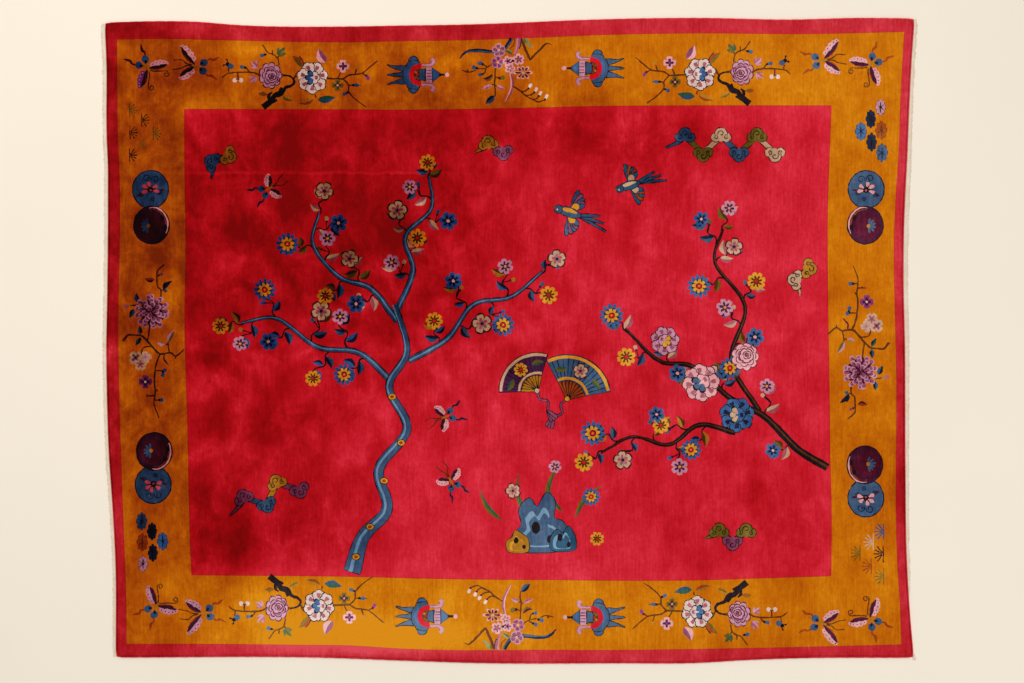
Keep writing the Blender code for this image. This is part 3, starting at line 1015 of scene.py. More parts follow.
@dataclass(frozen=True)
class Border:
    """The gold border's motifs: the same few, placed at every corner and side and turned to suit."""

    butterflies: tuple[Place, ...] = table(
        Place, (-362, 273, -48), (361, -278, 132), (361.5, 276, 48, True), (-353, -265.5, -132, True)
    )
    moths: tuple[Place, ...] = table(
        Place, (-313, 275, 173), (313, -283, -7), (314, 280.5, -173, True), (-306.5, -272.5, 7, True)
    )
    sprays: tuple[Place, ...] = table(
        Place, (-220, 265, 0), (211.5, -273, 180), (214.5, 268.5, 0, True), (-213.5, -267, 180, True)
    )
    censers: tuple[Place, ...] = table(
        Place, (-94, 266, 0), (87, 272.5, 180), (-85.5, -275.5, 0), (88, -276.5, 180)
    )
    orchids: tuple[Place, ...] = table(Place, (-1, 281, 0), (-1.5, -287, 180))
    columns: tuple[Place, ...] = table(Place, (-359, 0, 0), (353, -2, 180))
    roundels: tuple[Place, ...] = table(
        Place, (-358.6, 151.5, 0), (-355.8, -143.8, 180, True), (357.2, 151.4, 0, True), (356.8, -157.2, 180)
    )

    def draw(self, chart: Chart) -> None:
        """Draw every motif in its place."""
        pen = Pen(chart)
        for place in self.butterflies:
            pale = (Yarn.ROSE, Yarn.ORCHID if place.x < 0 else Yarn.ROSE)
            if place.x < 0 and place.y < 0:
                pale = (Yarn.LILAC, Yarn.LILAC)
            trail = Yarn.MAROON if place.x < 0 < place.y else Yarn.RUST
            Butterfly(pale=pale, trail=trail).draw(pen.at_place(place))
        for place in self.moths:
            pale = (Yarn.LILAC if place.x < 0 and place.y < 0 else Yarn.ROSE,) * 2
            moth = Butterfly((20.0, 25.0), (40.0, 44.0), pale, curled=False, trail=Yarn.RUST)
            moth.draw(pen.at_place(place))
        for motif, places in (
            (PEONY_SPRAY, self.sprays),
            (Censer(), self.censers),
            (ORCHID_SPRAY, self.orchids),
            (COLUMN_SPRAY, self.columns),
        ):
            for place in places:
                motif.draw(pen.at_place(place))
        for place in self.roundels:
            apart = 35.8 if place.y > 0 else 33.2
            flower = Yarn.PINK if place.x < 0 else Yarn.ROSE
            Roundels(apart=apart, flower=flower).draw(pen.at_place(place))
        self.small_marks(pen)

    def small_marks(self, pen: Pen) -> None:
        """Draw the rosettes and the grass tufts at two corners each, the second group turned half round."""
        for motif, x, y in (
            (Rosette(Yarn.STEEL), -367.4, -180.5),
            (Rosette(Yarn.NAVY, Yarn.INK, 4.6), -357.0, -190.5),
            (Rosette(Yarn.RUST, Yarn.BROWN), -366.7, -201.5),
            (Rosette(Yarn.BLUE, Yarn.NAVY), -346.4, -200.5),
            (Rosette(Yarn.NAVY, Yarn.INK, 4.6), -356.2, -212.0),
            (Rosette(Yarn.LILAC, Yarn.INK, 4.6, 7.6), -366.0, -223.0),
        ):
            motif.draw(pen.at(x, y))
            motif.draw(pen.at(5.5 - x, -5.1 - 1.07 * y, 180, 1.04))
        for left, right, x, y in (
            (Yarn.OLIVE, Yarn.OLIVE, -379.6, 230.6),
            (Yarn.INK, Yarn.RUST, -367.2, 220.6),
            (Yarn.INK, Yarn.INK, -379.1, 208.2),
            (Yarn.OLIVE, Yarn.OLIVE, -355.8, 207.3),
            (Yarn.OCHRE, Yarn.FAWN, -369.1, 196.1),
            (Yarn.INK, Yarn.STEEL, -379.6, 185.7),
        ):
            GrassTuft(left).draw(pen.at(x, y, 0, 1.15))
            GrassTuft(right).draw(pen.at(-5.0 - x, -5.0 - y, 180, 1.4))


@dataclass(frozen=True)
class Aster:
    """A round flower of many narrow petals with a second ring of another yarn inside it."""

    radius: float = 9.5
    outer: Yarn = Yarn.BLUE
    inner: Yarn = Yarn.GOLD_PALE
    heart: Yarn = Yarn.RED

    def draw(self, pen: Pen) -> None:
        """Draw the dark ground, both rings, then the heart."""
        r = self.radius
        for count, long, wide, yarn in ((12, r, 0.36 * r, self.outer),
                (12, 0.66 * r, 0.24 * r, Yarn.NAVY), (8, 0.6 * r, 0.3 * r, self.inner)):
            for turn in np.arange(count) * 360 / count + 7:
                pen.petal(0, 0, turn, long, wide, yarn)
        pen.disc(0, 0, 0.27 * r, Yarn.MAROON)
        pen.disc(0, 0, 0.2 * r, self.heart)
        pen.disc(0, 0, 0.08 * r, self.inner)


@dataclass(frozen=True)
class Bough:
    """A bent bough whose side twigs carry leaves, and a flower or a bud each.

    Attributes:
        path: the points it passes through.
        widths: its width from end to end.
        twigs: how many side twigs it has, left and right by turns.
        reach: their usual length.
        heads: the flowers they end in, taken in turn.
        leaves: yarn pairs of the leaves.
        bark, shine: yarns of the bough and of the line along it.
        seed: of its unevenness.
        start: share of the bough that is bare.
    """

    path: tuple[tuple[float, float], ...]
    widths: tuple[float, ...]
    twigs: int
    reach: float
    heads: tuple[object, ...]
    leaves: tuple[tuple[Yarn, Yarn], ...]
    bark: Yarn = Yarn.STEEL
    shine: Yarn = Yarn.SKY
    seed: int = 1
    start: float = 0.2

    def sprig(self, pen: Pen, long: float, side: int, chance: np.random.Generator) -> None:
        """A twig along the frame's x, kinked, with a leaf at every kink and a bud at one."""
        kinks = [(0.0, 0.0)]
        for number in range(1, 4):
            kinks.append((long * number / 4, 0.1 * long * side * (-1) ** number * chance.uniform(0.5, 1.2)))
        kinks.append((long, 0.0))
        pen.ribbon(kinks, (1.7, 1.4, 1.2), Yarn.INK)
        for number, (x, y) in enumerate(kinks[1:4]):
            flank = side * (-1) ** number
            upper, under = self.leaves[chance.integers(len(self.leaves))]
            size = chance.uniform(11.5, 17.0)
            at = pen.at(x, y, flank * chance.uniform(42, 80))
            if number == 1 and chance.uniform() < 0.5:
                at.ribbon([(0, 0), (8, 0)], (1.2, 1.0), Yarn.INK)
                Bud(6.0, 4.6, upper, Yarn.MAROON).draw(at.at(8, 0))
                continue
            at.leaf((1.5, 0), (size, 0), 0.46 * size, upper, under, 0.12 * flank)

    def draw(self, pen: Pen) -> None:
        """Draw the twigs and their leaves, then the bough, then the flowers."""
        chance = np.random.default_rng(self.seed)
        line = smooth_line(self.path, 8)
        ends = []
        for number, share in enumerate(np.linspace(self.start, 1.0, self.twigs)):
            step = min(int(share * (len(line) - 1)), len(line) - 2)
            heading = np.degrees(np.arctan2(*(line[step + 1] - line[step])[::-1]))
            side = -1 if number % 2 else 1
            lean = side * chance.uniform(35, 72) * (share < 0.99)
            at = pen.at(*line[step], heading + lean)
            long = self.reach * chance.uniform(0.7, 1.2)
            self.sprig(at, long, side, chance)
            ends.append(at.at(long, 0, chance.uniform(0, 72), chance.uniform(1.1, 1.35)))
        replace(pen, rim=Yarn.INK).ribbon(self.path, self.widths, self.bark, steps=8)
        pen.ribbon(np.array(self.path) + (0.5, 0.4), np.array(self.widths) * 0.3, self.shine, steps=8)
        for number, end in enumerate(ends):
            self.heads[number % len(self.heads)].draw(end)


@dataclass(frozen=True)
class Fan:
    """A folding fan opened along its frame's x, with a flower on its leaf and a tassel from its pivot."""

    radius: float = 44.0
    leaf: Yarn = Yarn.STEEL
    trim: Yarn = Yarn.GOLD_PALE
    sticks: Yarn = Yarn.RUST
    flower: object = None

    def draw(self, pen: Pen) -> None:
        """Draw the tassel, the sticks, the leaf with its folds and trims, and the flower."""
        r = self.radius
        lined = replace(pen, rim=Yarn.INK)
        lined.ribbon([(0, 0), (-8, 3), (-15, -2), (-22, 4)], (1.4, 1.4, 1.2), Yarn.MAUVE)
        for turn in (165, 180, 195):
            lined.petal(-21, 4, turn, 13, 3.2, Yarn.MAUVE)
        for turn in np.linspace(-50, 50, 9):
            lined.at(0, 0, turn).ribbon([(0, 0), (0.5 * r, 0)], (1.6, 2.4), self.sticks)
        lined.sector(0.42 * r, r, -54, 54, self.leaf)
        for turn in np.linspace(-48, 48, 13):
            pen.at(0, 0, turn).ribbon([(0.44 * r, 0), (0.97 * r, 0)], (0.8, 1.1), Yarn.NAVY)
        pen.sector(0.92 * r, 0.99 * r, -53, 53, self.trim)
        pen.sector(0.44 * r, 0.5 * r, -53, 53, self.trim)
        lined.disc(0, 0, 2.4, self.trim)
        for turn in (-26, 26):
            at = pen.at(0, 0, turn).at(0.7 * r, 0, 90 if turn > 0 else -90)
            at.leaf((0, 0), (13, 0), 5.4, Yarn.OLIVE, Yarn.GREEN, 0.1)
        self.flower.draw(pen.at(0.7 * r, 0))


@dataclass(frozen=True)
class CloudBand:
    """A trailing band of cloud: scrolled heads strung on a waving ribbon along its frame's x.

    Attributes:
        heads: how many.
        pitch: from head to head.
        wave: how far they swing to either side.
        yarns: their yarns, taken in turn.
    """

    heads: int = 4
    pitch: float = 22.0
    wave: float = 9.0
    yarns: tuple[Yarn, ...] = (Yarn.STEEL, Yarn.OLIVE, Yarn.FAWN)

    def draw(self, pen: Pen) -> None:
        """Draw the ribbon, then each head as three lobes with curls in them."""
        lined = replace(pen, rim=Yarn.INK)
        places = [(self.pitch * step, self.wave * (-1) ** step) for step in range(self.heads)]
        tail = [(-1.1 * self.pitch, -0.4 * self.wave), (-0.5 * self.pitch, 0.2 * self.wave)]
        for number, (start, end) in enumerate(zip(tail[1:] + places, places)):
            middle = ((start[0] + end[0]) / 2, (start[1] + end[1]) / 2)
            lined.ribbon([start, middle, end], (4.6, 5.4, 4.6), self.yarns[number % len(self.yarns)])
        lined.ribbon([*tail, places[0]], (0.6, 3.4, 5.0), self.yarns[0])
        for number, (x, y) in enumerate(places):
            yarn = self.yarns[number % len(self.yarns)]
            up = 1 if y > 0 else -1
            head = lined.at(x, y, 0 if up > 0 else 180)
            for side in (-6.0, 6.0):
                head.disc(side, -0.6, 5.0, yarn)
            head.disc(0, 3.4, 6.6, yarn)
            bare = pen.at(x, y, 0 if up > 0 else 180)
            bare.disc(0, 0.4, 5.6, yarn)
            for side in (-1, 1):
                bare.curl(6.0 * side, -0.6, 2.9, 90, 300 * side, 0.9, Yarn.INK)
            bare.curl(0, 3.6, 3.8, 200, -330, 1.0, Yarn.INK)


@dataclass(frozen=True)
class Bird:
    """A long-tailed bird in flight along its frame's x, one wing up and one down."""

    back: Yarn = Yarn.STEEL
    breast: Yarn = Yarn.GOLD_PALE
    wing: Yarn = Yarn.MAUVE

    def draw(self, pen: Pen) -> None:
        """Draw the tail, the far wing, the body, the near wing and the head."""
        lined = replace(pen, rim=Yarn.INK)
        for reach, aside in ((34, 5), (30, -1), (25, -6)):
            lined.ribbon([(-7, 0), (-0.6 * reach, 0.5 * aside), (-reach, aside)], (2.6, 2.2, 1.0), self.back)
        for side, sweep in ((1, 128), (-1, -118)):
            wing = lined.at(1, 1.5 * side, sweep)
            for step in range(5):
                wing.petal(0.6 * step, 0, (step - 2) * 13 * side, 19 - 2.1 * step, 4.6,
                    self.wing if step % 2 else self.back)
            pen.at(1, 1.5 * side, sweep).petal(-1, 0, 4 * side, 9.6, 6.4, self.breast)
        lined.patch([(-9, 0), (-3, 3.6), (5, 3.8), (10, 2.2), (10, -1.8), (4, -3.8), (-4, -3)], self.back)
        pen.patch([(-5, -1), (2, 0.4), (8, 0.2), (8, -1.8), (3, -3.2), (-3, -2.6)], self.breast)
        lined.disc(11.4, 0.8, 3.4, self.back)
        pen.facet([(14.2, 1.8), (19, 0.6), (14.2, -0.6)], Yarn.RUST)
        pen.disc(12.2, 1.4, 0.8, Yarn.IVORY)


@dataclass(frozen=True)
class Rock:
    """A garden rock, pierced and layered, standing along its frame's y."""

    yarns: tuple[Yarn, ...] = (Yarn.STEEL, Yarn.TEAL, Yarn.OCHRE)

    def draw(self, pen: Pen) -> None:
        """Draw three ragged masses, each with a lighter face and dark hollows."""
        masses = (
            (0, 0, 1.0, [(-20, -14), (-22, -2), (-15, 6), (-17, 18), (-9, 27), (-3, 20), (4, 31),
                (11, 24), (10, 12), (18, 8), (21, -4), (16, -14)]),
            (17, -6, 0.62, [(-14, -12), (-15, 4), (-8, 14), (0, 9), (6, 18), (13, 10), (16, -2), (13, -12)]),
            (-17, -8, 0.55, [(-14, -12), (-17, 2), (-9, 9), (-5, 18), (4, 13), (12, 6), (13, -12)]),
        )
        for yarn, (x, y, size, outline) in zip(self.yarns, masses):
            at = replace(pen, rim=Yarn.INK).at(x, y, size=size)
            at.patch(outline, yarn, steps=3)
            face = pen.at(x - 1, y - 1, size=0.66 * size)
            face.patch(outline, Yarn.SKY if yarn is not Yarn.OCHRE else Yarn.GOLD_PALE, steps=3)
            pen.at(x, y - 1.6, size=0.54 * size).patch(outline, yarn, steps=3)
            pen.disc(x - 4 * size, y + 4 * size, 3.4 * size, Yarn.INK, tall=1.4)
            pen.disc(x + 7 * size, y - 5 * size, 2.6 * size, Yarn.INK, tall=1.3)


@dataclass(frozen=True)
class Garden:
    """The field's design: a flowering tree, a peony bough, fans, a rock, clouds, birds and butterflies."""

    gold: SmallFlower = SmallFlower(8, 7.6, Yarn.GOLD_PALE, Yarn.BROWN, Yarn.RED)
    pale: SmallFlower = SmallFlower(5, 7.4, Yarn.FAWN, Yarn.DUSK, Yarn.NAVY, Yarn.MAROON)
    blue: SmallFlower = SmallFlower(6, 7.6, Yarn.BLUE, Yarn.NAVY, Yarn.ROSE)
    mauve: SmallFlower = SmallFlower(6, 7.0, Yarn.LILAC, Yarn.PLUM, Yarn.GOLD_PALE)
    aster: Aster = Aster()
    cool: tuple[tuple[Yarn, Yarn], ...] = ((Yarn.STEEL, Yarn.NAVY), (Yarn.BLUE, Yarn.NAVY),
        (Yarn.OCHRE, Yarn.BROWN))
    warm: tuple[tuple[Yarn, Yarn], ...] = ((Yarn.OLIVE, Yarn.BROWN), (Yarn.STEEL, Yarn.NAVY),
        (Yarn.FAWN, Yarn.DUSK))

    def tree(self, pen: Pen) -> None:
        """Draw the flowering tree: its boughs first and its trunk over them."""
        mixed = (self.aster, self.mauve, self.gold, self.pale, self.blue)
        for path, twigs, reach, heads, leaves, seed in (
            (((-118, -40), (-150, -12), (-192, -6), (-232, 22), (-268, 18)), 8, 30, mixed, self.cool, 4),
            (((-112, 20), (-138, 52), (-170, 64), (-196, 96), (-190, 128)), 7, 28, mixed[::-1], self.warm, 9),
            (((-100, -20), (-62, 2), (-36, 36), (2, 44), (34, 70)), 7, 28, mixed[2:] + mixed[:2],
                self.cool, 14),
            (((-112, 30), (-96, 70), (-104, 104), (-78, 132), (-80, 164)), 6, 26, mixed[1:], self.warm, 21),
        ):
            Bough(path, (5.6, 4.2, 3.2, 1.6), twigs, reach, heads, leaves, seed=seed).draw(pen)
        trunk = ((-157, -231), (-146, -196), (-122, -168), (-130, -128), (-102, -88), (-120, -46),
            (-102, -10), (-114, 36))
        replace(pen, rim=Yarn.INK).ribbon(trunk, (17, 12, 9.5, 9, 7.6, 6.6, 5.4, 4.2), Yarn.STEEL, steps=8)
        pen.ribbon([(x - 1.8, y) for x, y in trunk], (3.8, 2.4, 2.2, 2.0, 1.6, 1.4, 0.8), Yarn.SKY, steps=8)
        for x, y in ((-139, -186), (-125, -140), (-108, -102), (-117, -56), (-153, -216)):
            pen.disc(x, y, 4.4, Yarn.INK, tall=0.8)
            pen.disc(x, y, 3.6, Yarn.GOLD_PALE, tall=0.8)
            pen.disc(x, y, 1.9, Yarn.RUST, tall=0.8)

    def peonies(self, pen: Pen) -> None:
        """Draw the peony bough that reaches in from the right, and its great flowers."""
        small = (self.pale, self.blue, self.mauve, self.gold, self.aster)
        for path, widths, twigs, heads, leaves, seed in (
            (((250, -70), (222, -20), (236, 34), (206, 78), (214, 112)), (4.2, 3.2, 2.4, 1.2), 8, small,
                self.warm, 31),
            (((226, -92), (190, -84), (160, -104), (124, -96), (92, -112)), (4.2, 3.2, 2.2, 1.2), 7,
                small[::-1], self.cool, 37),
            (((318, -126.5), (288, -108), (256, -76), (222, -58), (184, -26), (150, -20), (116, 12)),
                (7, 5.6, 4.4, 3.2, 1.4), 8, small[1:], self.warm, 43),
        ):
            Bough(path, widths, twigs, 29, heads, leaves, Yarn.INK, Yarn.BROWN, seed=seed).draw(pen)
        for x, y, turn, motif in (
            (192, -42, 40, Peony(19, 1.0, 8, Yarn.ROSE, Yarn.DUSK, Yarn.INK, Yarn.STEEL)),
            (228, -74, 0, Peony(17, 1.0, 7, Yarn.BLUE, Yarn.NAVY, Yarn.INK, Yarn.FAWN)),
            (156, 0, 150, Peony(14, 1.0, 7, Yarn.LILAC, Yarn.MAUVE, Yarn.MAROON, Yarn.GOLD_PALE)),
            (236, -16, 80, RoundPeony(14, 1.0, Yarn.ROSE, Yarn.MAROON, Yarn.MAUVE)),
        ):
            motif.draw(pen.at(x, y, turn))

    def draw(self, chart: Chart) -> None:
        """Draw the whole field."""
        pen = Pen(chart)
        self.tree(pen)
        self.peonies(pen)
        Fan(flower=self.pale).draw(pen.at(58, -58, 64))
        Fan(38, Yarn.PLUM, Yarn.FAWN, Yarn.OCHRE, self.gold).draw(pen.at(28, -50, 128))
        for heads, pitch, wave, yarns, x, y, turn in (
            (6, 20, 9, (Yarn.STEEL, Yarn.OLIVE, Yarn.FAWN), 176, 196, 0),
            (4, 20, 8, (Yarn.MAUVE, Yarn.STEEL, Yarn.OCHRE), -262, -164, 24),
            (2, 15, 5, (Yarn.OCHRE, Yarn.MAUVE), -20, 192, 8),
            (2, 15, 5, (Yarn.FAWN, Yarn.OCHRE), 292, 60, 80),
            (2, 15, 5, (Yarn.STEEL, Yarn.OCHRE), -292, 176, 60),
            (3, 15, 5, (Yarn.OLIVE, Yarn.MAUVE), 210, -196, 0),
        ):
            CloudBand(heads, pitch, wave, yarns).draw(pen.at(x, y, turn, 0.9))
        Bird().draw(pen.at(62, 128, 160, 1.15))
        Bird(Yarn.TEAL, Yarn.FAWN, Yarn.RUST).draw(pen.at(122, 156, 196, 1.05))
        for x, y, turn in ((-240, 152, 30), (-58, -140, 120), (-64, -76, 200)):
            Butterfly(wings=(15.0, 15.0), curled=False, trail=Yarn.NAVY).draw(pen.at(x, y, turn, 0.9))
        for x, y, turn, long in ((18, -176, 100, 46), (40, -174, 78, 54), (66, -178, 50, 44),
                (-6, -180, 126, 40), (54, -172, 116, 36)):
            pen.at(x, y, turn).leaf((0, 0), (long, 0), 5.2, Yarn.OLIVE, Yarn.GREEN, 0.12)
        Rock().draw(pen.at(32, -192, 0, 1.3))
        for x, y, motif in ((4, -150, self.pale), (82, -156, self.aster), (46, -126, self.mauve),
                (88, -198, self.gold)):
            motif.draw(pen.at(x, y, 20))


@dataclass(frozen=True)
class Band:
    """A wide plain band: the four edges of the area inside it, in knots, and the yarn of that area."""

    left: Edge
    top: Edge
    right: Edge
    bottom: Edge
    yarn: Yarn

    def outline(self, grow: float = 0.0, step: float = 4.0) -> np.ndarray:
        """The area's outline, anticlockwise from its lower left corner.

        Args:
            grow: how far every edge is moved out.
            step: knots between places.

        Returns:
            The outline in knots.
        """
        low_left = (self.left[0].out, self.bottom[0].out)
        low_right = (self.right[0].out, self.bottom[-1].out)
        high_right = (self.right[-1].out, self.top[-1].out)
        high_left = (self.left[-1].out, self.top[0].out)
        bottom = self.line(low_left[0], low_right[0], self.bottom, step)
        right = self.line(low_right[1], high_right[1], self.right, step)
        top = self.line(high_right[0], high_left[0], self.top, step)
        left = self.line(high_left[1], low_left[1], self.left, step)
        return np.vstack(
            [bottom + (0, -grow), right[:, ::-1] + (grow, 0), top + (0, grow), left[:, ::-1] + (-grow, 0)]
        )

    @staticmethod
    def line(start: float, end: float, rows: Sequence[Row], step: float) -> np.ndarray:
        """Places from start up to, and without, end, with the table's smooth line beside them."""
        count = int(abs(end - start) / step)
        along = start + (end - start) * np.arange(count) / count
        return np.column_stack([along, follow(rows, along)])


@dataclass(frozen=True)
class Bands:
    """The rug's bands, from the red edge in: gold border and red field, each with a fine line of painted
    shade.
    """

    border: Band = Band(
        left=table(
            Row, (-303, -382.5), (-280, -382.5), (-174, -385.8), (-79, -389.1), (5, -390.8),
            (160, -389.3), (201, -391), (281, -392), (301.2, -392),
        ),
        top=table(
            Row, (-392, 301.2), (-349, 301.9), (-279, 300.4), (-159, 298.5), (-109, 299.5),
            (-49, 300.4), (31, 303.2), (91, 305.7), (191, 307.4), (291, 306.7), (395, 308.8),
        ),
        right=table(
            Row, (-303.6, 392.2), (-272, 391.2), (-219, 388), (-196, 387.2), (-45, 387.2),
            (19, 386), (91, 384.8), (138, 386.3), (189, 389.5), (240, 391.2), (281, 393.3),
            (308.8, 395),
        ),
        bottom=table(
            Row, (-382.5, -303), (-309, -303), (-209, -304), (-159, -304.6), (-109, -307.7),
            (-69, -309), (51, -309), (91, -309.2), (186, -308.2), (283, -306.3),
            (392.2, -303.6),
        ),
        yarn=Yarn.GOLD,
    )
    middle: Band = Band(
        left=table(
            Row, (-234, -317.5), (-174, -319.5), (-89, -321.2), (11, -324.1), (91, -323.1),
            (166, -324.1), (231.5, -324.5),
        ),
        top=table(
            Row, (-324.5, 231.5), (-159, 231), (-109, 230.7), (-39, 231.5), (31, 233),
            (101, 234.5), (191, 235), (322.2, 235),
        ),
        right=table(
            Row, (-235, 321.7), (-174, 322.2), (-109, 320.8), (-59, 320.3), (41, 318.8),
            (121, 318.3), (235, 322.2),
        ),
        bottom=table(
            Row, (-317.5, -234), (-159, -235.6), (-59, -238), (41, -238.9), (116, -239.6),
            (191, -239.1), (251, -237.2), (321.7, -235),
        ),
        yarn=Yarn.CRIMSON,
    )

    def draw(self, chart: Chart) -> int:
        """Lay the bands on the chart, and say how many outlines they take."""
        for band, line in ((self.border, 0.3), (self.middle, 0.4)):
            # A slightly bigger claret outline under each band: painted shade along its edge.
            chart.lay(band.outline(line), Yarn.CLARET_EDGE_SHADE, even=True)
            chart.lay(band.outline(), band.yarn, even=True)
        return len(chart.outlines)


class Swell(NamedTuple):
    """A soft rise in the pile as it lies: its middle, its reach either way and its height, in metres."""

    x: float
    y: float
    reach_x: float
    reach_y: float
    rise: float


class RimStep(NamedTuple):
    """One line of the rim: how far in from the outermost line, and what share of the pile's height."""

    inset: float
    share: float


@dataclass(frozen=True)
class RugShape:
    """The rug's outline and unevenness, in metres, the same as its solids have."""

    top: Edge = table(
        Row, (-1.749, 1.377), (-1.525, 1.383), (-1.365, 1.381), (-1.167, 1.366), (-0.687, 1.36),
        (-0.471, 1.364), (-0.169, 1.369), (0.047, 1.377), (0.307, 1.388), (0.825, 1.397), (1.214, 1.39),
        (1.516, 1.397), (1.754, 1.395),
    )
    bottom: Edge = table(
        Row, (-1.701, 1.37), (-0.8, 1.371), (-0.471, 1.383), (-0.125, 1.394), (0.48, 1.395), (0.803,
            1.394),
        (1.015, 1.382), (1.222, 1.374), (1.751, 1.371),
    )
    left: Edge = table(
        Row, (-1.37, 1.701), (-0.947, 1.703), (-0.753, 1.713), (-0.472, 1.732), (-0.256, 1.739),
        (-0.018, 1.742), (0.2, 1.738), (0.608, 1.735), (0.781, 1.736), (0.867, 1.74), (1.213, 1.742),
        (1.377, 1.749),
    )
    right: Edge = table(
        Row, (-1.371, 1.751), (-1.176, 1.734), (-0.96, 1.721), (-0.519, 1.714), (-0.022, 1.712),
        (0.263, 1.706), (0.487, 1.708), (0.816, 1.723), (1.036, 1.732), (1.213, 1.741), (1.395, 1.754),
    )
    swells: tuple[Swell, ...] = table(
        Swell,
        (-0.95, 0.725, 0.55, 0.06, 0.0011), (-1.25, 0.95, 0.35, 0.25, -0.001),
        (-0.45, 0.25, 0.3, 0.45, 0.0012), (-1.3, -0.75, 0.3, 0.4, 0.0009),
        (0.2, -0.55, 0.5, 0.35, -0.001), (0.35, 0.95, 0.45, 0.25, 0.001),
        (1.15, 0.3, 0.3, 0.5, -0.0011), (1.3, -0.9, 0.35, 0.3, 0.001),
        (-0.15, -1.33, 0.35, 0.08, 0.0014),
    )
    thickness: float = 0.012
    corner_pull: float = 0.004
    corner_reach: float = 0.020
    settling: int = 6

    def plan(self, u: np.ndarray, v: np.ndarray, ends: np.ndarray, sides: np.ndarray) -> np.ndarray:
        """Plan of the pile between its four bent edges, settled by going back and forth between x and y.

        Its corners are pulled in by a bell shape of the distance from them.

        Args:
            u, v: shares of the way from left to right, and from near to far.
            ends, sides: how far in from the left and right, and from the near and far, edges.

        Returns:
            Places in metres, one row each.
        """
        x = (2 * u - 1) * self.left[0].out
        y = (2 * v - 1) * self.top[0].out
        for _ in range(self.settling):
            left = -follow(self.left, y) + ends
            right = follow(self.right, y) - ends
            near = -follow(self.bottom, x) + sides
            far = follow(self.top, x) - sides
            x = left + (right - left) * u
            y = near + (far - near) * v
        away = np.hypot(np.minimum(x - left, right - x), np.minimum(y - near, far - y))
        pull = self.corner_pull * np.exp(-((away / self.corner_reach) ** 2))
        return np.stack([x - np.sign(x) * pull, y - np.sign(y) * pull], axis=1)

    def height(self, plan: np.ndarray) -> np.ndarray:
        """Height of the pile's tips: the thickness, plus a bell shape for each swell."""
        x, y = plan.T
        return self.thickness + sum(swell.rise * self.bell(swell, x, y) for swell in self.swells)

    def normals(self, plan: np.ndarray) -> np.ndarray:
        """The way the pile's top faces: (-dz/dx, -dz/dy, 1), from the bell shapes' own slopes."""
        x, y = plan.T
        along = sum(s.rise * self.bell(s, x, y) * -2 * (x - s.x) / s.reach_x**2 for s in self.swells)
        across = sum(s.rise * self.bell(s, x, y) * -2 * (y - s.y) / s.reach_y**2 for s in self.swells)
        normal = np.stack([-along, -across, np.ones_like(x)], axis=1)
        return normal / np.linalg.norm(normal, axis=1)[:, None]

    @staticmethod
    def bell(swell: Swell, x: np.ndarray, y: np.ndarray) -> np.ndarray:
        """The bell shape of a swell: exp of minus the squared distance in reaches."""
        return np.exp(-(((x - swell.x) / swell.reach_x) ** 2) - ((y - swell.y) / swell.reach_y) ** 2)


class NapShadePatch(NamedTuple):
    """A patch of painted nap shade: its middle and reach in knots, and how far the pile leans there."""

    x: float
    y: float
    reach_x: float
    reach_y: float
    lean: float


@dataclass(frozen=True)
class NapShading:
    """Painted shade and highlight from how the whole pile lies: the sum of the listed places, each a bell
    shape.

    Attributes:
        places: the places.
        lip: the lean of the pile along the far edge, below zero: a painted highlight there.
        lip_wide: how far in from that edge it reaches, in metres.
    """

    places: tuple[NapShadePatch, ...] = table(
        NapShadePatch,
        (-235, 130, 190, 150, 1.1), (-270, 190, 60, 40, 0.3), (-140, 300, 220, 14, 0.25),
        (-400, 60, 66, 400, 0.6), (-420, 310, 110, 80, 0.4), (-335, 262, 50, 26, 0.4),
        (-254, 292, 34, 9, -0.65), (-306, 236, 34, 13, -0.65), (-70, 262, 110, 30, 0.4),
        (-294, -203, 34, 46, 1.1), (-205, -196, 70, 44, 0.6), (-294, 2, 26, 44, 0.55),
        (-245, -105, 90, 70, 0.55), (-340, -140, 60, 120, 0.4), (-110, 110, 120, 110, 0.5),
        (-370, -290, 60, 40, 0.3), (-250, -252, 90, 40, -0.35), (-384, -158, 12, 60, -0.3),
        (-150, -323, 150, 10, 0.55), (-384, -60, 50, 34, 0.3), (-60, 315, 140, 12, 0.3),
        (-395, 316, 30, 14, 0.6), (395, -100, 9, 130, 0.45), (70, 212, 150, 34, 0.6),
        (135, 150, 70, 60, 0.35), (225, 196, 60, 24, 0.2), (240, -175, 100, 60, 0.3),
        (60, -60, 260, 120, 0.15), (-145, -298, 110, 22, -0.65), (20, -262, 180, 50, -0.15),
        (290, 255, 110, 30, -0.16), (372, -100, 40, 60, 0.2), (320, -322, 160, 22, 0.35),
    )
    lip: float = -0.15
    lip_wide: float = 0.012

    def lean(self, shape: RugShape, points: np.ndarray) -> np.ndarray:
        """How far the pile leans at points in metres: painted nap shade above zero, painted highlight below.
        """
        x, y = points[:, 0], points[:, 1]
        total = np.where(follow(shape.top, x) - y < self.lip_wide, self.lip, 0.0)
        for place in self.places:
            away = ((x / KNOT - place.x) / place.reach_x) ** 2 + ((y / KNOT - place.y) / place.reach_y) ** 2
            total += place.lean * np.exp(-away)
        return total


def turns_about(outline: np.ndarray, places: np.ndarray) -> np.ndarray:
    """How many times an outline turns about each place.

    Each of its steps that passes a place on the right counts one up when it rises and one down when it falls.

    Args:
        outline: the outline.
        places: the places.

    Returns:
        The count for each place.
    """
    x, y = places[:, 0:1], places[:, 1:2]
    x1, y1 = outline.T
    x2, y2 = np.roll(outline, -1, axis=0).T
    left_of = (x2 - x1) * (y - y1) - (x - x1) * (y2 - y1)
    rises = (y1 <= y) & (y2 > y) & (left_of > 0)
    falls = (y1 > y) & (y2 <= y) & (left_of < 0)
    return rises.sum(axis=1) - falls.sum(axis=1)


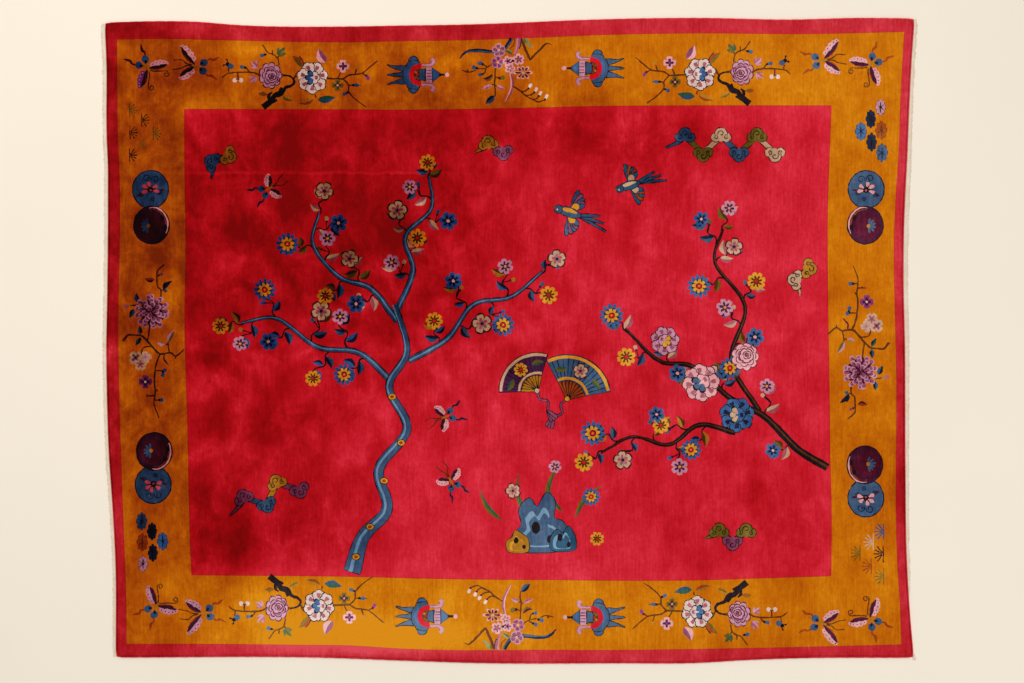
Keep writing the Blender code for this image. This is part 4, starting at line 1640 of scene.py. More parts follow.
@dataclass(frozen=True)
class Layout:
    """Outlines laid into one flat mesh of triangles.

    Attributes:
        places: its points in knots.
        faces: its triangles, three points each.
        top: for each triangle, the number of the last outline laid over it.
        loop: the points that the outermost outline became.
    """

    places: np.ndarray
    faces: np.ndarray
    top: np.ndarray
    loop: np.ndarray

    @classmethod
    def of(cls, loop: np.ndarray, spread: np.ndarray, outlines: Sequence[np.ndarray], bands: int) -> "Layout":
        """Cut the area inside a loop by all the outlines, then again by no more than the lines that show.

        Args:
            loop: the outermost outline, which is number 0.
            spread: loose points inside it that keep the triangles even.
            outlines: the outlines, numbered from 1.
            bands: how many of them, from the first, are wide bands.

        Returns:
            The layout.
        """
        drawn = [loop, *outlines]
        ends = np.cumsum([len(outline) for outline in drawn])
        rows = [list(range(end - len(outline), end)) for end, outline in zip(ends, drawn)]
        first = cls.cut(np.vstack([*drawn, spread]), [], rows, outlines, bands)
        used, lines = np.unique(first.lines_that_show(), return_inverse=True)
        wide = np.vstack([*drawn[: bands + 1], spread])
        points = np.vstack([wide, first.places[used]])
        return cls.cut(points, (lines.reshape(-1, 2) + len(wide)).tolist(), rows[: bands + 1], outlines,
            bands)

    @classmethod
    def cut(
        cls,
        points: np.ndarray,
        lines: list[list[int]],
        rows: Sequence[list[int]],
        outlines: Sequence[np.ndarray],
        bands: int,
    ) -> "Layout":
        """Cut the area inside the first row of points by lines and by the other rows.

        Args:
            points: all the points.
            lines: pairs of points to join.
            rows: closed rows of points: the loop, then the outlines that aren't among the lines.
            outlines: the outlines, numbered from 1.
            bands: how many of them are wide bands.

        Returns:
            The layout.
        """
        count = len(rows[0])
        given = [Vector(place) for place in points]
        places, _, faces, came_from, _, inside = delaunay_2d_cdt(
            given, lines, rows, FIRST_ROW_INSIDE, MEETING
        )
        met = np.array([(old, made) for made, group in enumerate(came_from) for old in group if old < count])
        order = np.zeros(count, int)
        order[met[:, 0]] = met[:, 1]
        kept = np.array([0 in group for group in inside])
        top = np.array([max(number for number in (0, *group) if number <= bands) for group in inside])[kept]
        corners = np.array(faces)[kept]
        flat = np.array(places)
        cls.stain(top, flat[corners].mean(axis=1), outlines, bands)
        return cls(flat, corners, top, order)

    def lines_that_show(self) -> np.ndarray:
        """Pairs of points whose line lies between two triangles with different numbers."""
        sides = np.sort(np.vstack([self.faces[:, [0, 1]], self.faces[:, [1, 2]], self.faces[:, [2, 0]]]),
            axis=1)
        number = np.tile(self.top, 3)
        in_pairs = np.lexsort((sides[:, 1], sides[:, 0]))
        sides, number = sides[in_pairs], number[in_pairs]
        shared = (sides[1:] == sides[:-1]).all(axis=1)
        return sides[1:][shared & (number[1:] != number[:-1])]

    @staticmethod
    def stain(top: np.ndarray, middles: np.ndarray, outlines: Sequence[np.ndarray], bands: int) -> None:
        """Number each triangle by the last outline that turns about its middle.

        Args:
            top: the numbers so far, changed in place.
            middles: the triangles' middles.
            outlines: the outlines, numbered from 1.
            bands: how many of them are numbered already.
        """
        by_x = np.argsort(middles[:, 0])
        sorted_x = middles[by_x, 0]
        for number, outline in enumerate(outlines[bands:], start=bands + 1):
            (low_x, low_y), (high_x, high_y) = outline.min(axis=0), outline.max(axis=0)
            near = by_x[np.searchsorted(sorted_x, low_x) : np.searchsorted(sorted_x, high_x)]
            near = near[(middles[near, 1] >= low_y) & (middles[near, 1] <= high_y)]
            top[near[turns_about(outline, middles[near]) != 0]] = number


def mesh_of(name: str, points: np.ndarray, corners: np.ndarray, sizes: np.ndarray) -> bpy.types.Mesh:
    """A mesh from its points, its faces' corners one after another, and how many corners each face has."""
    mesh = bpy.data.meshes.new(name)
    mesh.vertices.add(len(points))
    mesh.vertices.foreach_set("co", points.astype(np.float32).ravel())
    mesh.loops.add(len(corners))
    mesh.loops.foreach_set("vertex_index", corners.astype(np.int32).ravel())
    mesh.polygons.add(len(sizes))
    mesh.polygons.foreach_set("loop_start", (np.cumsum(sizes) - sizes).astype(np.int32))
    mesh.update(calc_edges=True)
    return mesh


def new_object(name: str, mesh: bpy.types.Mesh, material: bpy.types.Material) -> bpy.types.Object:
    """Link a smooth-shaded mesh to the scene as a piece, in its material."""
    mesh.materials.append(material)
    mesh.shade_smooth()
    piece = bpy.data.objects.new(name, mesh)
    bpy.context.scene.collection.objects.link(piece)
    return piece


@dataclass
class RugBody:
    """The knotted rug itself: patterned top, overcast selvedges along its sides, cut ends and a flat back.

    Attributes:
        shape: its outline and unevenness.
        chart: its pattern.
        bands: how many of the chart's first outlines are wide bands, which the back shows too.
        nap_shading: painted shade and highlight from how the pile lies.
        stations_x, stations_y: places around the edge on a side and on an end.
        spread, clear: how far apart the top's loose points lie, and how far in from the edge, in metres.
        scallop_pitch, scallop_rise: the small waves of the selvedges, in metres.
        blend: how far from a corner the end's rim turns into the side's, in metres.
        cord, cut: the rim's lines along a side and along an end.
        rim_yarns: yarns between those lines, from the top down; the second is painted shade where the rim
            dips below its top.
        flat: its length and width when flat.
        margin, back_strip, back_squeeze: room around it, and the back's place and height, on the baked sheet.
    """

    shape: RugShape
    chart: Chart
    bands: int
    nap_shading: NapShading = NapShading()
    stations_x: int = 264
    stations_y: int = 208
    spread: float = 0.04
    clear: float = 0.03
    scallop_pitch: float = 0.055
    scallop_rise: float = 0.0009
    blend: float = 0.030
    cord: tuple[RimStep, ...] = table(
        RimStep,
        (0.014, 1.00), (0.0105, 0.88), (0.009, 0.78), (0.0068, 0.86), (0.0042, 0.88), (0.0016, 0.76),
        (0.0002, 0.5), (0.0003, 0.22), (0.0015, 0.00),
    )
    cut: tuple[RimStep, ...] = table(
        RimStep,
        (0.014, 1.00), (0.01, 0.985), (0.0072, 0.97), (0.0045, 0.91), (0.0022, 0.78), (0.0007, 0.58),
        (0.0000, 0.38), (0.0004, 0.18), (0.0012, 0.00),
    )
    rim_yarns: tuple[Yarn, ...] = (
        Yarn.CRIMSON_EDGE, Yarn.CRIMSON_VALLEY_SHADE, Yarn.CRIMSON_EDGE, Yarn.CRIMSON, Yarn.CRIMSON, Yarn.CRIMSON,
        Yarn.CRIMSON_EDGE, Yarn.CRIMSON_EDGE,
    )
    flat: tuple[float, float] = (3.49, 2.75)
    margin: float = 0.05
    back_strip: float = 0.8
    back_squeeze: float = 0.19
    back_faces: int = 0

    def edge_loop(self) -> tuple[np.ndarray, np.ndarray]:
        """Shares u and v of the places around the edge, anticlockwise from the near left corner."""
        along = np.linspace(0, 1, self.stations_x, endpoint=False)
        across = np.linspace(0, 1, self.stations_y, endpoint=False)
        u = np.concatenate([along, np.ones_like(across), 1 - along, np.zeros_like(across)])
        v = np.concatenate([np.zeros_like(along), across, np.ones_like(along), 1 - across])
        return u, v

    def rings(self) -> np.ndarray:
        """Every line of the rim from the top down: rings of points in metres.

        Near a side the steps are the cord's, near an end the cut pile's, and between them a share of each.
        The selvedge waves by scallop_rise * |sin(pi * x / scallop_pitch)|.
        """
        u, v = self.edge_loop()
        zero = np.zeros_like(u)
        start = self.shape.plan(u, v, zero, zero)
        at_side = (v < 1e-9) | (v > 1 - 1e-9)
        from_end = np.minimum(u, 1 - u) * self.flat[0]
        cord_share = np.clip(np.where(at_side, 0.5 + from_end / self.blend, 0.0), 0, 1)
        wave = self.scallop_rise * (1 - np.abs(np.sin(np.pi * start[:, 0] / self.scallop_pitch))) * cord_share
        made = []
        for cord, cut in zip(self.cord, self.cut):
            inset = np.where(at_side, cord.inset, cut.inset)
            out = 1 - inset / self.cord[0].inset
            ends = np.full_like(u, cut.inset)
            sides = np.full_like(u, cord.inset) + wave * out
            plan = self.shape.plan(u, v, ends, sides)
            share = cut.share + (cord.share - cut.share) * cord_share
            made.append(np.column_stack([plan, share * self.shape.height(plan)]))
        return np.array(made)

    def loose_points(self) -> np.ndarray:
        """Points on a grid inside the rim, in knots."""
        across_x = np.linspace(0, 1, int(self.flat[0] / self.spread))
        across_y = np.linspace(0, 1, int(self.flat[1] / self.spread))
        u, v = (part.ravel() for part in np.meshgrid(across_x, across_y))
        inset = np.full_like(u, self.clear)
        return self.shape.plan(u, v, inset, inset) / KNOT

    def build(self, wool: bpy.types.Material) -> bpy.types.Object:
        """Make the rug's mesh: the top and the back laid out flat, joined by the rings of the rim.

        Args:
            wool: its material.

        Returns:
            The finished piece.
        """
        rings = self.rings()
        count = rings.shape[1]
        loose = self.loose_points()
        top = Layout.of(rings[0, :, :2] / KNOT, loose, self.chart.outlines, self.bands)
        back = Layout.of(rings[-1, :, :2] / KNOT, loose[:1], self.chart.outlines[: self.bands], self.bands)

        self.back_faces = len(back.faces)
        top_plan = top.places * KNOT
        top_points = np.column_stack([top_plan, self.shape.height(top_plan)])
        rim_points = rings[1:].reshape(-1, 3)
        back_points = np.column_stack([back.places * KNOT, np.zeros(len(back.places))])
        rim_index = len(top_points) + np.arange(len(rim_points)).reshape(-1, count)
        back_index = len(top_points) + len(rim_points) + np.arange(len(back_points))
        back_index[back.loop] = rim_index[-1]
        loops = np.vstack([top.loop[None], rim_index])
        inner, outer = loops[:-1], loops[1:]
        walls = np.stack([inner, outer, np.roll(outer, -1, axis=1), np.roll(inner, -1, axis=1)], axis=2)

        grounds = np.array([Yarn.CRIMSON_EDGE.value, *self.chart.colours])
        wall_colours = np.repeat(np.array([yarn.value for yarn in self.rim_yarns]), count, axis=0)
        face_colours = np.vstack([grounds[top.top], wall_colours, grounds[back.top]])
        sizes = np.concatenate([np.full(len(top.faces), 3), np.full(walls.size // 4, 4),
            np.full(len(back.faces), 3)])
        corners = np.concatenate([top.faces.ravel(), walls.ravel(), back_index[back.faces[:, ::-1]].ravel()])

        points = np.vstack([top_points, rim_points, back_points])
        used, renumbered = np.unique(corners, return_inverse=True)
        mesh = mesh_of("rug_pile", points[used], renumbered, sizes)
        self.paint(mesh, np.repeat(face_colours, sizes, axis=0))
        # The lean attribute carries painted nap shade and highlight into the wool's colour.
        lean = mesh.attributes.new("lean", "FLOAT", "POINT")
        lean.data.foreach_set("value", self.nap_shading.lean(self.shape, points[used]).astype(np.float32))
        self.unwrap(mesh, corners, points, rim_index, rings)
        body = new_object("rug_pile", mesh, wool)
        normals = np.zeros((len(used), 3))
        on_top = used < len(top_points)
        normals[on_top] = self.shape.normals(points[used[on_top], :2])
        mesh.normals_split_custom_set_from_vertices(normals.tolist())
        return body

    @staticmethod
    def paint(mesh: bpy.types.Mesh, colours: np.ndarray) -> None:
        """Keep each face corner's yarn as a colour attribute."""
        layer = mesh.color_attributes.new("yarn", "FLOAT_COLOR", "CORNER")
        opaque = np.column_stack([colours, np.ones(len(colours))])
        layer.data.foreach_set("color", opaque.astype(np.float32).ravel())

    def unwrap(
        self,
        mesh: bpy.types.Mesh,
        corners: np.ndarray,
        points: np.ndarray,
        rim_index: np.ndarray,
        rings: np.ndarray,
    ) -> None:
        """Lay the mesh out for baking: the top as it lies, the rim folded outward, the back in a strip above.

        Args:
            mesh: the mesh, its corners in the order of corners.
            corners: the points' numbers, corner by corner.
            points: the points.
            rim_index: numbers of the points around each ring below the first.
            rings: the places of all the rings.
        """
        step = np.linalg.norm(np.diff(rings, axis=0), axis=2)
        outward = rings[-3, :, :2] - rings[0, :, :2]
        outward /= np.linalg.norm(outward, axis=1)[:, None]
        unfolded = rings[0, :, :2] + outward * np.cumsum(step, axis=0)[:, :, None]
        plan = points[:, :2].copy()
        plan[rim_index.ravel()] = unfolded.reshape(-1, 2)
        half = np.array(self.flat) / 2 + self.margin
        uv = (plan[corners] + half) / (2 * half[0])
        back_corners = 3 * self.back_faces
        back = points[corners[-back_corners:], :2]
        uv[-back_corners:, 0] = (back[:, 0] + half[0]) / (2 * half[0])
        uv[-back_corners:, 1] = self.back_strip + self.back_squeeze * (back[:, 1] / (2 * half[1]) + 0.5)
        layer = mesh.uv_layers.new(name="OFBake")
        layer.data.foreach_set("uv", uv.astype(np.float32).ravel())


LEFT_WEB = table(
    Row, (-1.37, 0.015), (-0.5, 0.016), (0.3, 0.018), (1.000, 0.018), (1.377, 0.019),
)
RIGHT_WEB = table(
    Row, (-1.386, 0.009), (-1.379, 0.014), (-1.366, 0.009), (-1.000, 0.013), (-0.6, 0.016), (0.1, 0.02),
    (0.6, 0.021), (1.05, 0.016), (1.395, 0.015),
)
TAIL = 0.015


@dataclass
class EndWeb:
    """The cream cotton web at one end: a plain woven strip, its cropped warp in knots along the outside.

    Attributes:
        shape: the rug's outline.
        side: -1 for the left end and 1 for the right.
        widths: how wide it is, from the pile to the outside of its knots.
        tail: its reach past the near corner, in metres.
        gap: from the pile to the web.
        rib_pitch, rib_rise: of the ribs across the woven strip.
        wander: how far its outer line wavers.
        stations, across: its points along and across.
        knot_pitch, knot_size: of the warp knots.
        end_length: of their cropped ends.
        slices, levels: a knot's points around and up.
    """

    shape: RugShape
    side: int
    widths: Edge
    tail: float
    gap: float = 0.0003
    thickness: float = 0.0028
    rib_pitch: float = 0.0072
    rib_rise: float = 0.0005
    wander: float = 0.0012
    stations: int = 1100
    across: int = 7
    knot_pitch: float = 0.00864
    knot_size: tuple[float, float, float] = (0.003, 0.0034, 0.0022)
    end_length: float = 0.0035
    slices: int = 8
    levels: int = 4
    seed: int = 5

    def name(self, piece: str) -> str:
        """The name of a piece of this web."""
        return f"{piece}_{'left' if self.side < 0 else 'right'}"

    def inner_line(self, y: np.ndarray) -> np.ndarray:
        """The pile's end line, in x, at each y."""
        v = np.linspace(0, 1, 400)
        zero = np.zeros_like(v)
        line = self.shape.plan(np.full_like(v, (self.side + 1) / 2), v, zero, zero)
        return np.interp(y, line[:, 1], line[:, 0])

    def span(self) -> tuple[float, float]:
        """Where the web starts and ends, in y."""
        corner = np.array([0.0, 1.0])
        zero = np.zeros(2)
        low, high = self.shape.plan(np.full(2, (self.side + 1) / 2), corner, zero, zero)[:, 1]
        return low - self.tail, high

    def outer(self, y: np.ndarray) -> np.ndarray:
        """Width of the woven strip at each y: the table's width less a knot, with a slow waver."""
        waver = self.wander * (np.sin(y / 0.013) * np.sin(y / 0.031 + 1.0))
        return follow(self.widths, y) - self.knot_size[0] * 1.3 + waver

    def strip(self, cotton: bpy.types.Material) -> bpy.types.Object:
        """Make the woven strip: a flat profile with a rounded outer lip, carried along the end of the pile.

        Its ribs are rib_rise * |sin(pi * y / rib_pitch)| high.

        Args:
            cotton: its material.

        Returns:
            The finished piece.
        """
        low, high = self.span()
        y = np.linspace(low + 0.001, high - 0.001, self.stations)
        share = np.concatenate([np.linspace(0, 1, self.across), [1.03, 1.0, 0.0]])
        rise = np.concatenate([np.full(self.across - 1, 1.0), [0.8, 0.4, 0.0, 0.0]])
        rib = self.rib_rise * np.abs(np.sin(np.pi * y / self.rib_pitch))
        wide = self.outer(y)
        x = self.inner_line(y)[:, None] + self.side * (self.gap + wide[:, None] * share)
        z = rise * (self.thickness + rib[:, None])
        points = np.stack([x, np.broadcast_to(y[:, None], x.shape), z], axis=2)
        count = points.shape[1]
        number = np.arange(points.shape[0] * count).reshape(-1, count)
        beside = np.roll(number, -1, axis=1)
        faces = np.stack([number[:-1], beside[:-1], beside[1:], number[1:]], axis=2).reshape(-1, 4)
        near, far = number[0][::-1], number[-1]
        if self.side > 0:
            faces, near, far = faces[:, ::-1], near[::-1], far[::-1]
        corners = np.concatenate([faces.ravel(), near, far])
        sizes = np.concatenate([np.full(len(faces), 4), [count, count]])
        mesh = mesh_of(self.name("woven_web"), points.reshape(-1, 3), corners, sizes)
        return new_object(self.name("woven_web"), mesh, cotton)

    def knots(self, cotton: bpy.types.Material) -> bpy.types.Object:
        """Make the row of warp knots, ovals pressed side by side, each with a cropped end that lies outward.

        Args:
            cotton: their material.

        Returns:
            The finished piece.
        """
        chance = np.random.default_rng(self.seed)
        low, high = self.span()
        y = np.arange(low + 0.004, high - 0.003, self.knot_pitch)
        y = y + chance.normal(0, 0.0008, len(y))
        x = self.inner_line(y) + self.side * (self.gap + self.outer(y) + chance.normal(0, 0.0006, len(y)))
        size = np.array(self.knot_size) * chance.uniform(0.8, 1.2, (len(y), 1))
        around = np.linspace(0, 2 * np.pi, self.slices, endpoint=False)
        over = np.linspace(0, np.pi, self.levels + 2)[1:-1]
        ring = np.stack(
            [
                np.outer(np.sin(over), np.cos(around)),
                np.outer(np.sin(over), np.sin(around)),
                np.outer(np.cos(over), np.ones_like(around)),
            ],
            axis=2,
        ).reshape(-1, 3)
        ball = np.vstack([ring, [0, 0, 1], [0, 0, -1]])
        number = np.arange(self.levels * self.slices).reshape(self.levels, self.slices)
        beside = np.roll(number, -1, axis=1)
        wall = np.stack([number[:-1], number[1:], beside[1:], beside[:-1]], axis=2).reshape(-1, 4)
        pole = np.full(self.slices, number.size)
        cap = np.stack([pole, number[0], beside[0]], axis=1)
        foot = np.stack([pole + 1, beside[-1], number[-1]], axis=1)
        middle = np.stack([x, y, size[:, 2]], axis=1)
        places = middle[:, None] + ball * size[:, None]
        away = chance.uniform(0.3, 1.0, len(y)) * self.end_length
        lean = chance.normal(0, 0.0012, len(y))
        outer_side = np.clip(ball[:, 0] * self.side, 0, 1) ** 2
        places[:, :, 0] += self.side * away[:, None] * outer_side
        places[:, :, 1] += lean[:, None] * outer_side
        places[:, :, 2] *= 1 - 0.35 * outer_side
        corners = np.concatenate([wall.ravel(), cap.ravel(), foot.ravel()])
        shift = (np.arange(len(y)) * len(ball))[:, None]
        sizes = np.concatenate([np.full(len(wall), 4), np.full(2 * self.slices, 3)])
        mesh = mesh_of(
            self.name("warp_knots"), places.reshape(-1, 3), (corners + shift).ravel(), np.tile(sizes, len(y))
        )
        return new_object(self.name("warp_knots"), mesh, cotton)


@dataclass(frozen=True)
class Signal:
    """A number that varies over a surface: an output socket whose arithmetic adds Math nodes."""

    recipe: "Recipe"
    socket: bpy.types.NodeSocket

    def joined(self, operation: str, *others: Union["Signal", float], clamp: bool = False) -> "Signal":
        """A Math node of this signal and the others, in order."""
        return self.recipe.maths(operation, self, *others, clamp=clamp)

    def __add__(self, other: Union["Signal", float]) -> "Signal":
        """Sum."""
        return self.joined("ADD", other)

    __radd__ = __add__

    def __sub__(self, other: Union["Signal", float]) -> "Signal":
        """Difference."""
        return self.joined("SUBTRACT", other)

    def __rsub__(self, other: float) -> "Signal":
        """Difference, this signal taken from a number."""
        return self.recipe.maths("SUBTRACT", other, self)

    def __mul__(self, other: Union["Signal", float]) -> "Signal":
        """Product."""
        return self.joined("MULTIPLY", other)

    def clamped(self) -> "Signal":
        """The signal kept between 0 and 1."""
        return self.joined("ADD", 0.0, clamp=True)

    def ramp(self, low: float, high: float) -> "Signal":
        """A smooth step: 0 below low, 1 above high, and 3 t^2 - 2 t^3 between."""
        made = self.recipe.node(
            "ShaderNodeMapRange",
            {"interpolation_type": "SMOOTHSTEP"},
            {"Value": self, "From Min": low, "From Max": high},
        )
        return Signal(self.recipe, made.outputs["Result"])


class Recipe:
    """Builds one material's nodes around a Principled shader."""

    def __init__(self, name: str) -> None:
        """Start an empty material."""
        self.material = bpy.data.materials.new(name)
        self.material.use_nodes = True
        self.tree = self.material.node_tree
        self.shader = self.tree.nodes["Principled BSDF"]
        self.place = self.node("ShaderNodeTexCoord", {}, {}).outputs["Object"]

    def node(self, kind: str, settings: dict[str, object], inputs: dict[object, object]) -> bpy.types.Node:
        """Add a node.

        Args:
            kind: its type.
            settings: its properties, set first.
            inputs: a value, a signal or a socket for each named or numbered input.

        Returns:
            The node.
        """
        made = self.tree.nodes.new(kind)
        for setting, value in settings.items():
            setattr(made, setting, value)
        for key, value in inputs.items():
            self.feed(made.inputs[key], value)
        return made

    def feed(self, socket: bpy.types.NodeSocket, value: object) -> None:
        """Set a socket to a value, or link a signal or another socket to it."""
        if isinstance(value, Signal):
            value = value.socket
        if isinstance(value, bpy.types.NodeSocket):
            self.tree.links.new(value, socket)
        else:
            socket.default_value = value

    def maths(self, operation: str, *values: Union[Signal, float], clamp: bool = False) -> Signal:
        """A Math node on the values, in order."""
        made = self.node("ShaderNodeMath", {"operation": operation, "use_clamp": clamp},
            dict(enumerate(values)))
        return Signal(self, made.outputs[0])

    def stretched(self, scale: tuple[float, float, float]) -> bpy.types.NodeSocket:
        """The place on the piece, in metres times scale."""
        made = self.node("ShaderNodeVectorMath", {"operation": "MULTIPLY"}, {0: self.place, 1: scale})
        return made.outputs[0]

    def axis(self, name: str) -> Signal:
        """One coordinate of the place on the piece, in metres."""
        made = self.node("ShaderNodeSeparateXYZ", {}, {0: self.place})
        return Signal(self, made.outputs[name])

    def noise(
        self, scale: tuple[float, float, float], detail: float = 2.0, rough: float = 0.5, swirl: float = 0.0
    ) -> Signal:
        """Smooth noise about 0.5, its cells to a metre each way given, and drawn out where swirl is up."""
        made = self.node(
            "ShaderNodeTexNoise",
            {"noise_dimensions": "3D"},
            {"Vector": self.stretched(scale), "Scale": 1.0, "Detail": detail, "Roughness": rough,
                "Distortion": swirl},
        )
        return Signal(self, made.outputs["Fac"])

    def colour_of(self, attribute: str) -> bpy.types.NodeSocket:
        """A colour attribute of the mesh."""
        made = self.node("ShaderNodeAttribute", {"attribute_name": attribute}, {})
        return made.outputs["Color"]

    def blend(self, factor: Signal, first: tuple, second: tuple) -> bpy.types.NodeSocket:
        """A colour Mix node, from the first colour to the second."""
        made = self.tree.nodes.new("ShaderNodeMix")
        made.data_type = "RGBA"
        made.clamp_factor = True
        self.feed(made.inputs["Factor"], factor)
        colours = [socket for socket in made.inputs if socket.type == "RGBA"]
        for socket, value in zip(colours, (first, second)):
            self.feed(socket, (*value, 1.0))
        return next(socket for socket in made.outputs if socket.type == "RGBA")

    def number_of(self, attribute: str) -> Signal:
        """A number kept at each point of the mesh."""
        made = self.node("ShaderNodeAttribute", {"attribute_name": attribute}, {})
        return Signal(self, made.outputs["Fac"])

    def scaled(self, colour: bpy.types.NodeSocket, amount: Signal) -> bpy.types.NodeSocket:
        """A colour made lighter or darker by a signal."""
        made = self.node("ShaderNodeVectorMath", {"operation": "SCALE"}, {0: colour, "Scale": amount})
        return made.outputs[0]

    def bump(self, height: Signal, depth: float, strength: float,
        under: object = None) -> bpy.types.NodeSocket:
        """A Bump node of depth metres, on top of an earlier one."""
        inputs: dict[object, object] = {"Height": height, "Distance": depth, "Strength": strength}
        if under is not None:
            inputs["Normal"] = under
        return self.node("ShaderNodeBump", {}, inputs).outputs["Normal"]

    def finish(self, **sockets: object) -> bpy.types.Material:
        """Set the shader's sockets, written with _ for a space, and hand over the material."""
        for name, value in sockets.items():
            self.feed(self.shader.inputs[name.replace("_", " ")], value)
        return self.material


@dataclass(frozen=True)
class WoolPile:
    """Cut wool pile: yarn colours with painted nap shade and highlight, fine rows of knots, and a soft sheen.

    Attributes:
        roughness: of the tips.
        power: how much richer the painted shade makes a yarn's colour where the pile leans away, as a power
            of it.
        shade_darkening: how much darker the painted shade makes it there.
        rows: knots to a metre, across the rows.
        sheen: its weight.
    """

    roughness: float = 0.9
    power: float = 0.58
    shade_darkening: float = 0.34
    rows: float = 230.0
    sheen: float = 0.04

    def lean(self, wool: Recipe) -> Signal:
        """Painted nap shade: how far the pile leans away, as listed, in clouds, patches and rows, less a
        painted highlight along one fold line.
        """
        x, y = wool.axis("X"), wool.axis("Y")
        nap_shade = wool.number_of("lean")
        cloud = wool.noise((4.6, 3.8, 1.0), detail=3.0, rough=0.55) - 0.5
        patch = wool.noise((9.0, 7.0, 1.0), detail=7.0, rough=0.7, swirl=0.35) - 0.5
        fleck = wool.noise((75.0, 55.0, 1.0), detail=3.0, rough=0.65) - 0.5
        streak = wool.noise((120.0, 9.0, 1.0), detail=2.0, rough=0.6) - 0.5
        # Painted highlight: a thin lighter line along one fold, fading away from x = -0.85 m.
        off_fold = (y - (0.725 + patch * 0.05)).joined("ABSOLUTE")
        fading = 1.0 - (x + 0.85).joined("ABSOLUTE").ramp(0.35, 0.75)
        fold_highlight = (0.7 - off_fold.ramp(0.0, 0.016) + patch * 2.0).clamped() * fading
        deep = nap_shade.clamped()
        lean = nap_shade + cloud * (0.8 + deep * 1.6) + patch * (1.0 + deep * 2.2)
        lean = lean + streak * 0.6 + fleck * 0.55 - fold_highlight * 0.6
        return lean.joined("MAXIMUM", -0.4).joined("MINIMUM", 1.7)

    def make(self) -> bpy.types.Material:
        """Build the material."""
        wool = Recipe("wool_pile")
        yarn = wool.colour_of("yarn")
        lean = self.lean(wool)
        grain = wool.noise((self.rows, self.rows, 40.0), detail=2.0, rough=0.7)
        # Painted shade: where the pile leans away the yarn turns richer and darker, and lighter where the
        # lean is below zero.
        deep = wool.node("ShaderNodeGamma", {}, {"Color": yarn, "Gamma": 1.0 + lean * self.power}).outputs[0]
        colour = wool.scaled(deep, 1.04 - lean * self.shade_darkening + (grain - 0.5) * 0.24)
        tufts = wool.noise((self.rows, self.rows * 0.8, 60.0), detail=1.0, rough=0.6)
        nap = wool.bump(wool.noise((12.0, 8.0, 1.0), detail=3.0, rough=0.6), 0.01, 0.25)
        normal = wool.bump(tufts, 0.0016, 0.55, under=nap)
        return wool.finish(
            Base_Color=colour,
            Roughness=self.roughness,
            Normal=normal,
            Sheen_Weight=self.sheen,
            Sheen_Roughness=0.5,
            Sheen_Tint=(1.0, 0.62, 0.52, 1.0),
            Specular_IOR_Level=0.05,
        )


@dataclass(frozen=True)
class CottonWeb:
    """Undyed cotton, plain woven: cream, with painted shade in the dips between its threads.

    Attributes:
        roughness: of the thread.
        threads: threads to a metre.
    """

    roughness: float = 0.9
    threads: float = 420.0

    def make(self) -> bpy.types.Material:
        """Build the material."""
        cotton = Recipe("cotton_web")
        x, y = cotton.axis("X"), cotton.axis("Y")
        turn = 2 * np.pi * self.threads
        along, across = (x * turn).joined("SINE"), (y * turn * 0.8).joined("SINE")
        weave_height_and_shade = along * across * 0.5 + 0.5
        soil = cotton.noise((9.0, 22.0, 9.0), detail=4.0, rough=0.65)
        fuzz = cotton.noise((500.0, 500.0, 500.0), detail=2.0)
        # Painted shade: the cream turns greyer in the weave's dips; soil and fuzz vary its tone at random.
        shade_and_soil = (weave_height_and_shade * 0.35 + soil * 0.9 + (fuzz - 0.5) * 0.5 - 0.22).clamped()
        colour = cotton.blend(shade_and_soil, linear(222, 198, 168), linear(255, 250, 236))
        normal = cotton.bump(weave_height_and_shade + fuzz * 0.4, 0.0006, 0.6)
        return cotton.finish(
            Base_Color=colour,
            Roughness=self.roughness,
            Normal=normal,
            Sheen_Weight=0.08,
            Specular_IOR_Level=0.2,
        )


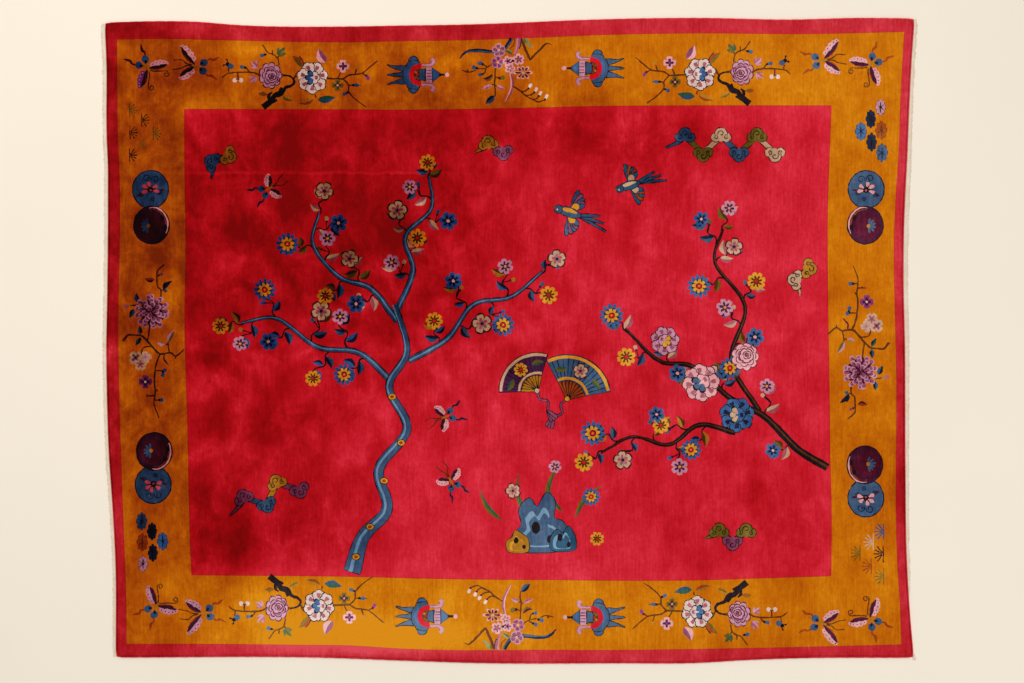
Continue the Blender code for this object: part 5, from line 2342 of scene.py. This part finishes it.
@dataclass(frozen=True)
class Studio:
    """A plain pale floor, soft light, and a camera straight above the rug.

    Attributes:
        aim: the camera's place over the floor, in metres.
        distance: its height.
        view_width: width of floor that the picture spans.
        sensor: its sensor's width, in millimetres.
        floor_half: half the floor's width.
    """

    aim: tuple[float, float] = (0.0127, -0.003)
    distance: float = 6.0
    view_width: float = 4.4237
    rug_top: float = 0.012
    sensor: float = 36.0
    floor_half: float = 7.0
    floor_colour: tuple[float, float, float] = linear(248, 238, 222)
    world_light: float = 0.50
    key_power: float = 385.0
    fill_power: float = 40.0

    def floor(self) -> None:
        """Lay the floor: one flat square, in a faintly uneven matt finish."""
        half = self.floor_half
        points = np.array([[-half, -half, 0], [half, -half, 0], [half, half, 0], [-half, half, 0]], float)
        mesh = mesh_of("floor", points, np.arange(4), np.array([4]))
        plain = Recipe("pale_floor")
        drift = plain.noise((1.3, 1.3, 1.0), detail=2.0)
        paler = tuple(min(1.0, 1.05 * part) for part in self.floor_colour)
        colour = plain.blend(drift, self.floor_colour, paler)
        material = plain.finish(Base_Color=colour, Roughness=0.8)
        floor = new_object("floor", mesh, material)

    def area_light(
        self, name: str, place: tuple[float, float, float], wide: float, power: float, tint: tuple[float,
            float, float]
    ) -> None:
        """Hang a square area light that faces the middle of the rug."""
        lamp = bpy.data.lights.new(name, "AREA")
        lamp.size = wide
        lamp.energy = power
        lamp.color = tint
        hung = bpy.data.objects.new(name, lamp)
        hung.location = place
        hung.rotation_euler = (-Vector(place)).to_track_quat("-Z", "Y").to_euler()
        bpy.context.scene.collection.objects.link(hung)

    def camera(self) -> None:
        """Set the camera straight above, its picture view_width wide at the pile's top."""
        lens = bpy.data.cameras.new("camera")
        lens.sensor_width = self.sensor
        lens.sensor_fit = "HORIZONTAL"
        lens.lens = self.sensor * (self.distance - self.rug_top) / self.view_width
        lens.clip_end = 50.0
        held = bpy.data.objects.new("camera", lens)
        held.location = (*self.aim, self.distance)
        bpy.context.scene.collection.objects.link(held)
        bpy.context.scene.camera = held

    def build(self) -> None:
        """Set up the floor, the lights, the camera and plain colour."""
        scene = bpy.context.scene
        scene.view_settings.view_transform = "Standard"
        world = bpy.data.worlds.new("studio")
        world.use_nodes = True
        sky = world.node_tree.nodes["Background"]
        sky.inputs["Color"].default_value = (1.0, 0.98, 0.95, 1.0)
        sky.inputs["Strength"].default_value = self.world_light
        scene.world = world
        self.floor()
        self.area_light("key", (-2.4, 3.6, 8.0), 4.0, self.key_power, (1.0, 0.97, 0.93))
        self.area_light("fill", (3.2, -2.4, 4.0), 3.0, self.fill_power, (0.96, 0.98, 1.0))
        self.camera()


def main() -> None:
    """Build the rug from its pile out, and the studio around it."""
    logging.basicConfig(level=logging.INFO, format="%(message)s")
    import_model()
    Studio().build()
    shape = RugShape()
    chart = Chart()
    bands = Bands().draw(chart)
    Garden().draw(chart)
    Border().draw(chart)
    log.info("chart: %d outlines", len(chart.outlines))

    wool = WoolPile().make()
    cotton = CottonWeb().make()
    body = RugBody(shape, chart, bands)
    pile = body.build(wool)
    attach(pile, "root")
    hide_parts("pile_body")
    log.info("rug_pile: %d faces", len(pile.data.polygons))

    webs = {"end_web_left": EndWeb(shape, -1, LEFT_WEB, 0.0),
        "end_web_right": EndWeb(shape, 1, RIGHT_WEB, TAIL)}
    for node, web in webs.items():
        strip, knots = web.strip(cotton), web.knots(cotton)
        for piece in (strip, knots):
            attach(piece, "root")
            log.info("%s: %d faces", piece.name, len(piece.data.polygons))
        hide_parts(node)
        low, high = web.span()
        float(web.outer(np.array([0.0]))[0])
        high - low


if __name__ == "__main__":
    main()
